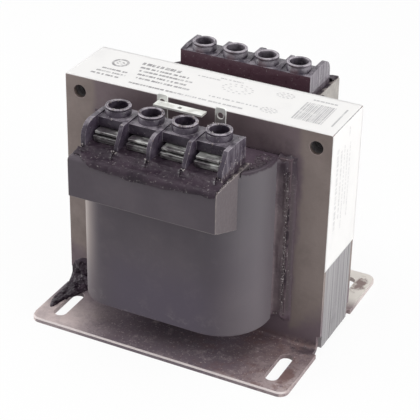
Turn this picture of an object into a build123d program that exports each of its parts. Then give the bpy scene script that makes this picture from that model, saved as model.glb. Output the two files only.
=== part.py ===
"""Open-frame control transformer with a laminated core, a wrapped coil and two terminal blocks.

Millimetres, +Z up. The origin is the middle of the mounting feet on the ground.
+X runs along the core's width and -Y faces the front terminal block.
"""
import os

from build123d import *

# Lamination stack
core_width = 114.3
core_height = 95.25
stack_depth = 25.4
leg_width = 15.0
yoke_height = 12.7
centre_leg_width = 25.4
core_hole_diameter = 5.6
core_hole_inset = 6.35

# End frames, bent from sheet steel
frame_sheet = 2.0
frame_bend_radius = 1.5
foot_reach = 33.3
foot_corner_radius = 4.0
foot_slot_length = 19.0
foot_slot_width = 5.5
foot_slot_inset = 9.45
foot_slot_setback = 17.8
relief_depth = 1.5
relief_height = 6.0
relief_reach = 3.3

# Coil on the centre leg
window_clearance = 0.15
tube_clearance = 0.2
tube_wall = 1.2
coil_side_gap = 4.15
coil_end_build = 28.8
coil_left_radius = 14.0
coil_right_radius = 20.5
wrap_thickness = 1.5
wrap_fit = 0.1
wrap_edge_gap = 5.8
wrap_side_rise = 2.1
winding_margin = 1.5
liner_thickness = 1.0
liner_lip = 2.5
liner_flap = 4.2

# Terminal trays, one at each end of the coil
tray_sheet = 1.5
tray_ledge = 2.1
tray_margin = 1.8
tray_standoff = 14.8
tray_lead = 7.1
tray_bend_radius = 1.6
apron_height = 16.5
gusset_drop = 5.5
tray_clearance = 0.4

# Terminal blocks
terminal_count = 4
terminal_pitch = 14.1
terminal_shift = -0.6
barrier_thickness = 1.6
end_barrier_thickness = 1.9
end_barrier_inset = 0.15
block_depth = 20.7
block_floor = 1.6
block_rear_wall = 1.5
block_deck = 3.8
deck_lead = 6.0
barrier_rise = 0.8
barrier_radius = 6.0
sloped_barrier_setback = 1.2
sloped_barrier_lean = 4.6
sloped_barrier_drop = 7.0
collar_setback = 5.1
collar_diameter = 10.0
collar_height = 3.6
collar_bore = 7.7

# Clamps and screws of one terminal
plate_width = 9.8
plate_length = 13.6
plate_thickness = 1.0
plate_clearance = 0.5
boss_height = 1.8
boss_lead = 1.2
boss_chamfer = 3.0
wire_gap = 0.7
saddle_width = 9.4
saddle_length = 12.8
saddle_thickness = 1.0
saddle_clearance = 0.4
screw_head_diameter = 6.8
screw_head_height = 2.4
screw_shank_diameter = 4.0
screw_hole_clearance = 0.4
screw_tip_clearance = 0.3

# Rating label
label_thickness = 0.2
label_drop = 58.75

# Link strap and its clips, behind the front block
clip_inset = 0.3
clip_width = 4.6
clip_sheet = 0.8
clip_eye = 2.4
clip_setback = 1.9
clip_rise = 2.4
clip_eye_drop = 3.4
strap_width = 4.2
strap_thickness = 0.8
strap_hole = 1.8
strap_drop = 0.5
strap_left_overlap = 4.0
strap_right_gap = 3.4

# The rear block and its clamps are the front ones turned round, and one overrun serves all cuts
rear_turn = 180
overrun = 5.0

# Heights and half sizes that follow from the sizes above
core_half_width = core_width / 2
core_bottom = frame_sheet
core_top = core_bottom + core_height
stack_half = stack_depth / 2
core_face = stack_half + frame_sheet
foot_edge = core_face + foot_reach
window_bottom = core_bottom + yoke_height
window_top = core_top - yoke_height
window_inner = centre_leg_width / 2
window_outer = core_half_width - leg_width
window_middle = (window_inner + window_outer) / 2
window_width = window_outer - window_inner
window_height = window_top - window_bottom
coil_bottom = window_bottom + window_clearance
coil_top = window_top - window_clearance
coil_height = coil_top - coil_bottom
coil_half_width = window_outer - coil_side_gap
coil_front = core_face + coil_end_build
ledge_top = coil_top + tray_ledge
block_inner = core_face + tray_standoff
block_front = block_inner + block_depth
tray_front = block_front + tray_lead
block_width = terminal_count * terminal_pitch + end_barrier_thickness - 2 * end_barrier_inset
tray_half_width = block_width / 2 + tray_margin
floor_top = ledge_top + block_floor
plate_bottom = floor_top + boss_height
plate_top = plate_bottom + plate_thickness
saddle_bottom = plate_top + wire_gap
saddle_top = saddle_bottom + saddle_thickness
deck_bottom = saddle_top + saddle_clearance
deck_top = deck_bottom + block_deck
collar_top = deck_top + collar_height
barrier_top = deck_top + barrier_rise
collar_place = block_inner + collar_setback
plate_rear = block_inner + block_rear_wall + plate_clearance
plate_front = plate_rear + plate_length
saddle_front = plate_rear + saddle_length
screw_hole_diameter = screw_shank_diameter + screw_hole_clearance
terminal_places = [
    terminal_shift + (index - (terminal_count - 1) / 2) * terminal_pitch for index in range(terminal_count)
]
barrier_places = [
    terminal_shift + (index - terminal_count / 2) * terminal_pitch for index in range(1, terminal_count)
]
end_barrier_place = (block_width - end_barrier_thickness) / 2


def span_box(x_low, x_high, y_low, y_high, z_low, z_high):
    """Return a box between two opposite corners."""
    middle = Pos((x_low + x_high) / 2, (y_low + y_high) / 2, (z_low + z_high) / 2)
    return middle * Box(x_high - x_low, y_high - y_low, z_high - z_low)


def upright(sketch, half_depth):
    """Extrude an X and Z profile the same way to the front and the rear."""
    return extrude(Plane.XZ * sketch, amount=half_depth, both=True)


def across(sketch, half_width):
    """Extrude a Y and Z profile the same way to the left and the right."""
    return extrude(Plane.YZ * sketch, amount=half_width, both=True)


def standing(sketch, z_low, z_high):
    """Extrude a plan profile from one height to another."""
    return extrude(Pos(0, 0, z_low) * sketch, amount=z_high - z_low)


def rod(x_place, y_place, diameter, z_low, z_high):
    """Return an upright cylinder."""
    return Pos(x_place, y_place, (z_low + z_high) / 2) * Cylinder(diameter / 2, z_high - z_low)


def closed_profile(points):
    """Return the face inside a closed run of straight lines."""
    return make_face(Polyline(*points, close=True))


def nearest_vertex(sketch, first, second):
    """Return the vertex of a profile that lies closest to a given place."""
    return min(sketch.vertices(), key=lambda item: (item.X - first) ** 2 + (item.Y - second) ** 2)


# Lamination outline, shared by the stack and by both end frames
window_sketch = Sketch() + [
    Pos(side * window_middle, (window_bottom + window_top) / 2) * Rectangle(window_width, window_height)
    for side in (-1, 1)
]
hole_sketch = Sketch() + [
    Pos(side * (core_half_width - core_hole_inset), core_top - core_hole_inset)
    * Circle(core_hole_diameter / 2)
    for side in (-1, 1)
]
yoke_sketch = Pos(0, core_bottom + yoke_height / 2) * Rectangle(core_width, yoke_height)
core_sketch = Pos(0, (core_bottom + core_top) / 2) * Rectangle(core_width, core_height)
core_e_stack = upright(core_sketch - window_sketch - hole_sketch - yoke_sketch, stack_half)
core_i_stack = upright(yoke_sketch, stack_half)


def make_end_frame():
    """Return the front end frame with its foot, slots and bend reliefs."""
    profile = closed_profile(
        [
            (-stack_half, core_top),
            (-core_face, core_top),
            (-core_face, frame_sheet),
            (-foot_edge, frame_sheet),
            (-foot_edge, 0),
            (-stack_half, 0),
        ]
    )
    profile = fillet(nearest_vertex(profile, -core_face, frame_sheet), frame_bend_radius)
    profile = fillet(nearest_vertex(profile, -stack_half, 0), frame_bend_radius + frame_sheet)
    frame = across(profile, core_half_width)
    foot_corners = frame.edges().filter_by(Axis.Z).group_by(Axis.Y)[0]
    frame = fillet(foot_corners, foot_corner_radius)
    frame -= upright(window_sketch + hole_sketch, core_face + overrun)
    for side in (-1, 1):
        slot_place = Pos(side * (core_half_width - foot_slot_inset), -(core_face + foot_slot_setback))
        slot = slot_place * SlotOverall(foot_slot_length, foot_slot_width, rotation=90)
        frame -= standing(slot, -overrun, frame_sheet + overrun)
        relief_inner = side * (core_half_width - relief_depth)
        relief_outer = side * (core_half_width + overrun)
        frame -= span_box(
            min(relief_inner, relief_outer),
            max(relief_inner, relief_outer),
            -(core_face + relief_reach),
            -stack_half + overrun,
            -overrun,
            frame_sheet + relief_height,
        )
    return frame


front_end_frame = make_end_frame()

# Tube and winding around the centre leg, with a wrap over each end of the winding
tube_hole_width = centre_leg_width + 2 * tube_clearance
tube_hole_depth = 2 * (core_face + tube_clearance)
tube_hole = Rectangle(tube_hole_width, tube_hole_depth)
tube_outline = Rectangle(tube_hole_width + 2 * tube_wall, tube_hole_depth + 2 * tube_wall)
winding_tube = standing(tube_outline - tube_hole, coil_bottom, coil_top)


def coil_outline(inset):
    """Return the coil's plan outline, pulled in by an inset. Its left corners are the tighter ones."""
    outline = Rectangle(2 * (coil_half_width - inset), 2 * (coil_front - inset))
    outline = fillet(outline.vertices().group_by(Axis.X)[0], coil_left_radius - inset)
    return fillet(outline.vertices().group_by(Axis.X)[-1], coil_right_radius - inset)


winding_hole = Rectangle(
    tube_hole_width + 2 * (tube_wall + wrap_fit), tube_hole_depth + 2 * (tube_wall + wrap_fit)
)
coil_winding = standing(
    coil_outline(wrap_thickness + wrap_fit) - winding_hole,
    coil_bottom + winding_margin,
    coil_top - winding_margin,
)
wrap_top = coil_top + wrap_side_rise
wrap_ring = standing(coil_outline(0) - coil_outline(wrap_thickness), coil_bottom, wrap_top)
wrap_ring -= span_box(
    -(tray_half_width + tray_clearance),
    tray_half_width + tray_clearance,
    -(coil_front + overrun),
    coil_front + overrun,
    coil_top,
    wrap_top + overrun,
)
front_coil_wrap = wrap_ring - span_box(
    -(coil_half_width + overrun),
    coil_half_width + overrun,
    -(core_face + wrap_edge_gap),
    coil_front + overrun,
    coil_bottom - overrun,
    wrap_top + overrun,
)

# Window liners stand against the inner faces of the outer legs, their ends folded towards the coil
liner_end = core_face + liner_lip
right_window_liner = span_box(
    window_outer - liner_thickness - liner_flap, window_outer, -liner_end, liner_end, coil_bottom, coil_top
) - span_box(
    window_outer - liner_thickness - liner_flap - overrun,
    window_outer - liner_thickness,
    -(liner_end - liner_thickness),
    liner_end - liner_thickness,
    coil_bottom - overrun,
    coil_top + overrun,
)
left_window_liner = mirror(right_window_liner, about=Plane.YZ)


def make_tray():
    """Return the front tray: a ledge with a hanging apron and two end gussets that meet the coil."""
    apron_bottom = ledge_top - apron_height
    sheet_profile = closed_profile(
        [
            (-block_inner, ledge_top),
            (-tray_front, ledge_top),
            (-tray_front, apron_bottom),
            (-(tray_front - tray_sheet), apron_bottom),
            (-(tray_front - tray_sheet), coil_top),
            (-block_inner, coil_top),
        ]
    )
    sheet_profile = fillet(nearest_vertex(sheet_profile, -tray_front, ledge_top), tray_bend_radius)
    tray = across(sheet_profile, tray_half_width)
    gusset_slope = gusset_drop / (tray_front - coil_front)
    gusset_low = apron_bottom - gusset_slope * (tray_front - block_inner)
    gusset_profile = closed_profile(
        [
            (-block_inner, coil_top),
            (-(tray_front - tray_sheet), coil_top),
            (-(tray_front - tray_sheet), apron_bottom - gusset_slope * tray_sheet),
            (-block_inner, gusset_low),
        ]
    )
    gussets = across(gusset_profile, tray_half_width) - across(gusset_profile, tray_half_width - tray_sheet)
    gussets -= standing(coil_outline(-tray_clearance), gusset_low - overrun, coil_top)
    return tray + gussets


front_terminal_tray = make_tray()


def make_block():
    """Return the front terminal block with its collars, barriers, bosses and wire pockets."""
    deck_front = collar_place + deck_lead
    shell_profile = closed_profile(
        [
            (-block_inner, ledge_top),
            (-block_inner, deck_top),
            (-deck_front, deck_top),
            (-deck_front, deck_bottom),
            (-(block_inner + block_rear_wall), deck_bottom),
            (-(block_inner + block_rear_wall), floor_top),
            (-block_front, floor_top),
            (-block_front, ledge_top),
        ]
    )
    block = across(shell_profile, block_width / 2)
    round_profile = closed_profile(
        [
            (-block_inner, ledge_top),
            (-block_inner, deck_top),
            (-collar_place, barrier_top),
            (-block_front, barrier_top),
            (-block_front, ledge_top),
        ]
    )
    round_profile = fillet(nearest_vertex(round_profile, -block_front, barrier_top), barrier_radius)
    slope_foot = block_front - sloped_barrier_setback
    slope_head = slope_foot - sloped_barrier_lean
    sloped_profile = closed_profile(
        [
            (-block_inner, ledge_top),
            (-block_inner, deck_top),
            (-collar_place, barrier_top),
            (-slope_head, barrier_top),
            (-slope_foot, barrier_top - sloped_barrier_drop),
            (-slope_foot, ledge_top),
        ]
    )
    for number, place in enumerate(barrier_places):
        profile = round_profile if number % 2 else sloped_profile
        block += Pos(place, 0, 0) * across(profile, barrier_thickness / 2)
    block += Pos(-end_barrier_place, 0, 0) * across(round_profile, end_barrier_thickness / 2)
    block += Pos(end_barrier_place, 0, 0) * across(sloped_profile, end_barrier_thickness / 2)
    for place in terminal_places:
        block += rod(place, -collar_place, collar_diameter, deck_bottom, collar_top)
        boss_half = plate_width / 2
        boss_front = plate_front - boss_lead
        boss_plan = closed_profile(
            [
                (place - boss_half, -(block_inner + block_rear_wall)),
                (place - boss_half, -(boss_front - boss_chamfer)),
                (place - boss_half + boss_chamfer, -boss_front),
                (place + boss_half - boss_chamfer, -boss_front),
                (place + boss_half, -(boss_front - boss_chamfer)),
                (place + boss_half, -(block_inner + block_rear_wall)),
            ]
        )
        block += standing(boss_plan, floor_top, plate_bottom)
    for place in terminal_places:
        block -= rod(place, -collar_place, collar_bore, deck_bottom - saddle_clearance, collar_top + overrun)
    return block


front_terminal_block = make_block()


def make_plate(place):
    """Return the lower contact plate of one terminal."""
    plate = span_box(
        place - plate_width / 2,
        place + plate_width / 2,
        -plate_front,
        -plate_rear,
        plate_bottom,
        plate_top,
    )
    return plate - rod(place, -collar_place, screw_hole_diameter, plate_bottom - overrun, plate_top + overrun)


def make_saddle(place):
    """Return the upper clamp plate of one terminal, a fork that slides in round the screw."""
    saddle = span_box(
        place - saddle_width / 2,
        place + saddle_width / 2,
        -saddle_front,
        -plate_rear,
        saddle_bottom,
        saddle_top,
    )
    return saddle - span_box(
        place - screw_hole_diameter / 2,
        place + screw_hole_diameter / 2,
        -(collar_place + screw_hole_diameter / 2),
        -plate_rear + overrun,
        saddle_bottom - overrun,
        saddle_top + overrun,
    )


def make_screw(place):
    """Return one terminal screw, its head seated on the saddle."""
    screw = rod(place, -collar_place, screw_head_diameter, saddle_top, saddle_top + screw_head_height)
    return screw + rod(
        place, -collar_place, screw_shank_diameter, plate_bottom + screw_tip_clearance, saddle_top
    )


# Rating label over the core's top and down its right side
label_profile = closed_profile(
    [
        (-core_half_width, core_top),
        (core_half_width, core_top),
        (core_half_width, core_top - label_drop),
        (core_half_width + label_thickness, core_top - label_drop),
        (core_half_width + label_thickness, core_top + label_thickness),
        (-core_half_width, core_top + label_thickness),
    ]
)
rating_label = upright(label_profile, core_face)

# Clips stand on the winding between the core and the front block, and the strap lies against them
clip_foot = coil_top - winding_margin
clip_top = core_top + clip_rise
clip_rear = core_face + clip_setback
clip_middle = window_inner - clip_inset
clip_profile = Pos(0, (clip_foot + clip_top) / 2) * Rectangle(clip_width, clip_top - clip_foot)
clip_profile = fillet(clip_profile.vertices().group_by(Axis.Y)[-1], clip_width / 4)
clip_profile -= Pos(0, clip_top - clip_eye_drop) * Circle(clip_eye / 2)
clip_blank = Pos(0, -clip_rear, 0) * extrude(Plane.XZ * clip_profile, amount=clip_sheet)
left_link_clip = Pos(-clip_middle, 0, 0) * clip_blank
right_link_clip = Pos(clip_middle, 0, 0) * clip_blank

strap_left = -(clip_middle - clip_width / 2) - strap_left_overlap
strap_right = clip_middle - clip_width / 2 - strap_right_gap
strap_rear = clip_rear + clip_sheet
strap_top = core_top - strap_drop
strap_middle = Pos((strap_left + strap_right) / 2, -(strap_rear + strap_width / 2))
strap_plan = strap_middle * (Rectangle(strap_right - strap_left, strap_width) - Circle(strap_hole / 2))
link_strap = standing(strap_plan, strap_top - strap_thickness, strap_top)

nodes = {
    "core_e_stack": core_e_stack,
    "core_i_stack": core_i_stack,
    "front_end_frame": front_end_frame,
    "rear_end_frame": mirror(front_end_frame, about=Plane.XZ),
    "winding_tube": winding_tube,
    "coil_winding": coil_winding,
    "front_coil_wrap": front_coil_wrap,
    "rear_coil_wrap": mirror(front_coil_wrap, about=Plane.XZ),
    "left_window_liner": left_window_liner,
    "right_window_liner": right_window_liner,
    "front_terminal_tray": front_terminal_tray,
    "rear_terminal_tray": mirror(front_terminal_tray, about=Plane.XZ),
    "front_terminal_block": front_terminal_block,
    "rear_terminal_block": Rot(0, 0, rear_turn) * front_terminal_block,
    "rating_label": rating_label,
    "link_strap": link_strap,
    "left_link_clip": left_link_clip,
    "right_link_clip": right_link_clip,
}
for number, place in enumerate(terminal_places, start=1):
    for name, piece in (
        ("plate", make_plate(place)),
        ("saddle", make_saddle(place)),
        ("screw", make_screw(place)),
    ):
        nodes["front_" + name + "_" + str(number)] = piece
        nodes["rear_" + name + "_" + str(number)] = Rot(0, 0, rear_turn) * piece

os.makedirs("parts", exist_ok=True)
for name, piece in nodes.items():
    export_step(piece, os.path.join("parts", name + ".step"))
    print(name, len(piece.solids()), round(piece.volume, 2))
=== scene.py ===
"""Open-frame control transformer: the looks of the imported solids, laid out as a Blender add-on."""
import math
import random

import bmesh
import bpy
from mathutils import Matrix, Quaternion, Vector, noise


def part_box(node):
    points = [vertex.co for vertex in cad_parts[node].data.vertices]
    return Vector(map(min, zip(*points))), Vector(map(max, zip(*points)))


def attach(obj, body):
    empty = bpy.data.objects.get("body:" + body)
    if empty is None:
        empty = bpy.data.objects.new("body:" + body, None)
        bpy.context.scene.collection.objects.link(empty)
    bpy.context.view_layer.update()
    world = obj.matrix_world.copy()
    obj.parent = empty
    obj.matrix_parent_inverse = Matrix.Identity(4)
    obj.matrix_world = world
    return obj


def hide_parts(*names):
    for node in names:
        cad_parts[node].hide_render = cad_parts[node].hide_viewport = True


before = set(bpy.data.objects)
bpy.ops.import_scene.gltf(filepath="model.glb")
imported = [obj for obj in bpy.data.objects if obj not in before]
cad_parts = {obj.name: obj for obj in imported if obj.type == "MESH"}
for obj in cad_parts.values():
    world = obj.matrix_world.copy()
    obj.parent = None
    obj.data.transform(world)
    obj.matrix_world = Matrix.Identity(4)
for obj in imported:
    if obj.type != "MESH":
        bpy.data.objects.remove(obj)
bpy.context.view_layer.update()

bl_info = {
    "name": "Control transformer",
    "version": (1, 0, 0),
    "blender": (4, 5, 0),
    "location": "3D View > Sidebar > Transformer",
    "description": "Builds an open-frame control transformer around its packed solids",
    "category": "Add Mesh",
}

SIDES = ("front", "rear")
TERMINALS = (1, 2, 3, 4)
OUTWARD = {"front": -1.0, "rear": 1.0}
UP = Vector((0.0, 0.0, 1.0))
SORT_DIRECTION = Vector((1.0, 0.37, 0.61))
GROOVE_SHARE = 0.14
SENSOR_MILLIMETRES = 36.0

# Linear colours that stand beside those of the settings.
WORN_METAL = (0.82, 0.81, 0.79)
SCREW_DARK = (0.03, 0.028, 0.03)
STRAP_DARK = (0.62, 0.62, 0.58)
LABEL_CLOUD = (0.74, 0.73, 0.73)

# Small sizes and gaps in metres.
FRAME_SHEET = 0.002
TOE_DEPTH = 0.0041
COLLAR_REACH = 0.0047
GROOVE_HALF = 0.0003
LIP_PLAY = 0.0002
SCREW_SHANK = 0.0019
SCREW_CHAMFER = 0.0004
STRAP_EDGE = 0.00015
CLIP_EDGE = 0.00025
LABEL_SKIN = 0.0002
LABEL_LIFT = 0.00001
LABEL_SHEET = 0.00018
MARK_LIFT = 0.00019
POOL_ROUND = 0.0016
SEAM_SKIN = 0.00002
SEAM_SHEET = 0.0002


def colour_setting(name, description, default):
    """Return a linear colour property."""
    return bpy.props.FloatVectorProperty(
        name=name, description=description, default=default, size=3, min=0.0, max=1.0, subtype="COLOR"
    )


def length_setting(name, description, default):
    """Return a length property in metres."""
    return bpy.props.FloatProperty(
        name=name, description=description, default=default, precision=5, unit="LENGTH", subtype="DISTANCE"
    )


class TransformerSizes(bpy.types.PropertyGroup):
    """Sizes of the worked edges and of the fine detail."""

    sheet_count: bpy.props.IntProperty(
        name="Sheets", description="Steel sheets in the core", default=30, min=4, max=60
    )
    sheet_groove: length_setting("Sheet groove", "Depth of the groove between two sheets", 0.00012)
    sheet_shift: length_setting("Sheet shift", "How far one sheet stands proud of another", 0.00005)
    steel_edge: length_setting("Steel edge", "Rounding of the end frames' edges", 0.0003)
    toe_edge: length_setting("Toe edge", "Rounding of the feet's upper front edges", 0.0006)
    tray_edge: length_setting("Tray edge", "Rounding of the trays' edges", 0.0004)
    wrap_edge: length_setting("Wrap edge", "Rounding of the coil wrap's edges", 0.0004)
    block_edge: length_setting("Block edge", "Rounding of the terminal blocks' edges", 0.00034)
    rim_height: length_setting("Rim height", "Height of a collar's rim above its groove", 0.0013)
    collar_round: length_setting("Collar rounding", "Rounding of the collars' rims", 0.0004)
    collar_groove: length_setting("Collar groove", "Depth of the groove below a collar's rim", 0.0003)
    clamp_edge: length_setting("Clamp edge", "Rounding of the clamp plates' edges", 0.0002)
    lip_depth: length_setting("Lip depth", "Thickness of a lower clamp plate's turned-down lip", 0.0010)
    lip_drop: length_setting("Lip drop", "How far a lower clamp plate's lip hangs down", 0.0014)
    slot_width: length_setting("Slot width", "Width of a screw's slot", 0.0011)
    slot_depth: length_setting("Slot depth", "Depth of a screw's slot", 0.0011)
    label_ripple: length_setting("Label ripple", "Height of the ripples in the label", 0.00012)
    label_print: length_setting("Print height", "Height of the label's plain marks", 0.00003)
    label_bend: length_setting("Label bend", "Radius of the label's bend at the core's edge", 0.00035)
    cap_height: length_setting("Cap height", "Thickness of the varnish on the winding's top", 0.0014)
    pool_depth: length_setting("Pool depth", "Thickness of the varnish that lies on a tray", 0.0004)
    pool_fillet: length_setting("Pool fillet", "How far the varnish climbs the block's front", 0.0013)
    pool_spill: length_setting("Pool spill", "How far the varnish runs over a tray's front edge", 0.0022)


class TransformerFinishes(bpy.types.PropertyGroup):
    """Colours of the finishes, linear."""

    frame_grey: colour_setting("Frame steel", "Varnished steel of the end frames", (0.255, 0.208, 0.193))
    frame_brown: colour_setting("Frame stain", "Browner patches of the end frames", (0.200, 0.160, 0.148))
    frame_dark: colour_setting("Frame varnish", "Thick varnish on the end frames", (0.140, 0.101, 0.126))
    foot_metal: colour_setting("Foot metal", "Bare metal of the feet", (0.60, 0.505, 0.495))
    foot_dark: colour_setting("Foot varnish", "Varnish left on the feet", (0.125, 0.097, 0.122))
    foot_rust: colour_setting("Foot rust", "Reddish stains on the feet", (0.165, 0.090, 0.084))
    # Partly wear, partly painted highlight on the feet's upper front edges.
    foot_edge: colour_setting("Foot edge", "Bright worn edges of the feet", (0.80, 0.73, 0.72))
    foot_pale: colour_setting("Foot corners", "Pale outer corners of the rear foot", (0.84, 0.795, 0.735))
    sheet_grey: colour_setting("Sheet edges", "Edges of the core's sheets", (0.37, 0.355, 0.365))
    sheet_dark: colour_setting("Sheet varnish", "Varnish between the core's sheets", (0.15, 0.14, 0.15))
    wrap_grey: colour_setting("Coil wrap", "Wrap over the coil", (0.074, 0.060, 0.075))
    wrap_light: colour_setting("Coil wrap clouds", "Paler parts of the wrap", (0.092, 0.076, 0.090))
    # Laid as real scuffs low down, and as painted light on the wrap's right side; on its edges it is partly
    # wear, partly painted highlight.
    wrap_pale: colour_setting("Coil wrap scuffs", "Scuffed parts of the wrap", (0.22, 0.20, 0.21))
    wrap_sheen: colour_setting("Coil wrap sheen", "Cooler upper right part of the wrap", (0.080, 0.082, 0.090))
    wrap_violet: colour_setting("Coil wrap foot", "More violet lower part of the wrap", (0.080, 0.064, 0.092))
    # Painted highlight down the coil wrap's left edge.
    wrap_left_highlight: colour_setting("Coil wrap left edge", "Pale warm left edge of the wrap", (0.320, 0.272, 0.255))
    winding_brown: colour_setting("Winding", "Varnished wire", (0.092, 0.072, 0.080))
    board_brown: colour_setting("Board", "Varnished insulating board", (0.130, 0.095, 0.100))
    tray_grey: colour_setting("Tray", "Moulded trays", (0.075, 0.061, 0.075))
    scuff_brown: colour_setting("Tray scuffs", "Scuffed ends of the trays", (0.300, 0.265, 0.250))
    # Painted light on the rear tray's right end.
    tray_end_light: colour_setting("Tray dust", "Dusty right end of the rear tray", (0.43, 0.405, 0.375))
    varnish_dark: colour_setting("Varnish", "Thick dark varnish", (0.021, 0.013, 0.021))
    varnish_brown: colour_setting("Thin varnish", "Thinner dark varnish", (0.040, 0.026, 0.038))
    # In the board this is a real tone; on the winding's top it is painted light that lifts the block's shade.
    varnish_thin: colour_setting("Top varnish", "Thin varnish on the winding's top", (0.100, 0.072, 0.094))
    seam_grey: colour_setting("Seam varnish", "Greyer varnish in the windows", (0.150, 0.114, 0.126))
    # Partly varnish, partly painted shade in the corner by the frame.
    seam_edge: colour_setting("Seam edge", "Darker varnish towards the frame", (0.070, 0.051, 0.058))
    # On the front block's edges this pale tone makes painted glints.
    fleck_pale: colour_setting("Flecks", "Pale dried drops and dust", (0.40, 0.37, 0.37))
    block_black: colour_setting("Block", "Moulded terminal blocks", (0.038, 0.028, 0.044))
    block_grey: colour_setting("Block patches", "Greyer patches of the blocks", (0.082, 0.067, 0.090))
    # Partly wear, partly painted highlight on the blocks' edges and tops.
    block_edge: colour_setting("Block edges", "Worn edges of the terminal blocks", (0.43, 0.395, 0.435))
    block_wall: colour_setting("Block wall", "Reddish inner walls of the blocks", (0.080, 0.040, 0.054))
    clamp_zinc: colour_setting("Clamps", "Plated clamp plates", (0.38, 0.38, 0.365))
    # Also darkens the lower plates, and lies as painted shade on the clamps towards the left.
    clamp_dull: colour_setting("Clamp varnish", "Varnish on the clamp plates", (0.092, 0.074, 0.090))
    # Used for painted glint streaks, and on the clamp edges partly for wear, partly as painted highlight.
    clamp_edge: colour_setting("Clamp edges", "Bright worn edges of the clamp plates", (0.80, 0.81, 0.78))
    screw_steel: colour_setting("Screws", "Dull plated screws", (0.10, 0.095, 0.10))
    bright_tin: colour_setting("Strap", "Bright tinned metal", (0.86, 0.87, 0.84))
    clip_grey: colour_setting("Clips", "Dull faces of the clips", (0.36, 0.335, 0.325))
    label_white: colour_setting("Label", "White label sheet", (0.86, 0.85, 0.84))
    label_ink: colour_setting("Label marks", "Faint grey marks", (0.52, 0.51, 0.52))
    label_dark: colour_setting("Dark label marks", "Darker marks at the label's left end", (0.25, 0.24, 0.25))


class TransformerStage(bpy.types.PropertyGroup):
    """Camera, lamps and floor."""

    camera_place: bpy.props.FloatVectorProperty(
        name="Camera place", description="Where the camera stands", default=(0.2334, -0.4750, 0.3464),
        size=3, unit="LENGTH", subtype="TRANSLATION",
    )
    camera_aim: bpy.props.FloatVectorProperty(
        name="Camera aim", description="The point at the middle of the view",
        default=(0.01172, -0.02312, 0.05814), size=3, unit="LENGTH", subtype="TRANSLATION",
    )
    camera_roll: bpy.props.FloatProperty(
        name="Camera roll", description="Turn of the camera about its axis", default=0.0204, subtype="ANGLE"
    )
    camera_lens: bpy.props.FloatProperty(
        name="Lens", description="Focal length on a 36 mm sensor", default=128.9, unit="CAMERA"
    )
    right_lamp: bpy.props.FloatProperty(
        name="Right lamp", description="Power of the lamp on the right", default=5.5, unit="POWER"
    )
    left_lamp: bpy.props.FloatProperty(
        name="Left lamp", description="Power of the lamp on the left", default=6.0, unit="POWER"
    )
    top_lamp: bpy.props.FloatProperty(
        name="Top lamp", description="Power of the lamp overhead", default=4.1, unit="POWER"
    )
    sky: bpy.props.FloatProperty(name="Sky", description="Strength of the light all round", default=0.26)
    floor_half: length_setting("Floor", "Half the floor's width", 3.0)


def sizes():
    """Return the size settings."""
    return bpy.context.scene.transformer_sizes


def finishes():
    """Return the colour settings."""
    return bpy.context.scene.transformer_finishes


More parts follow.
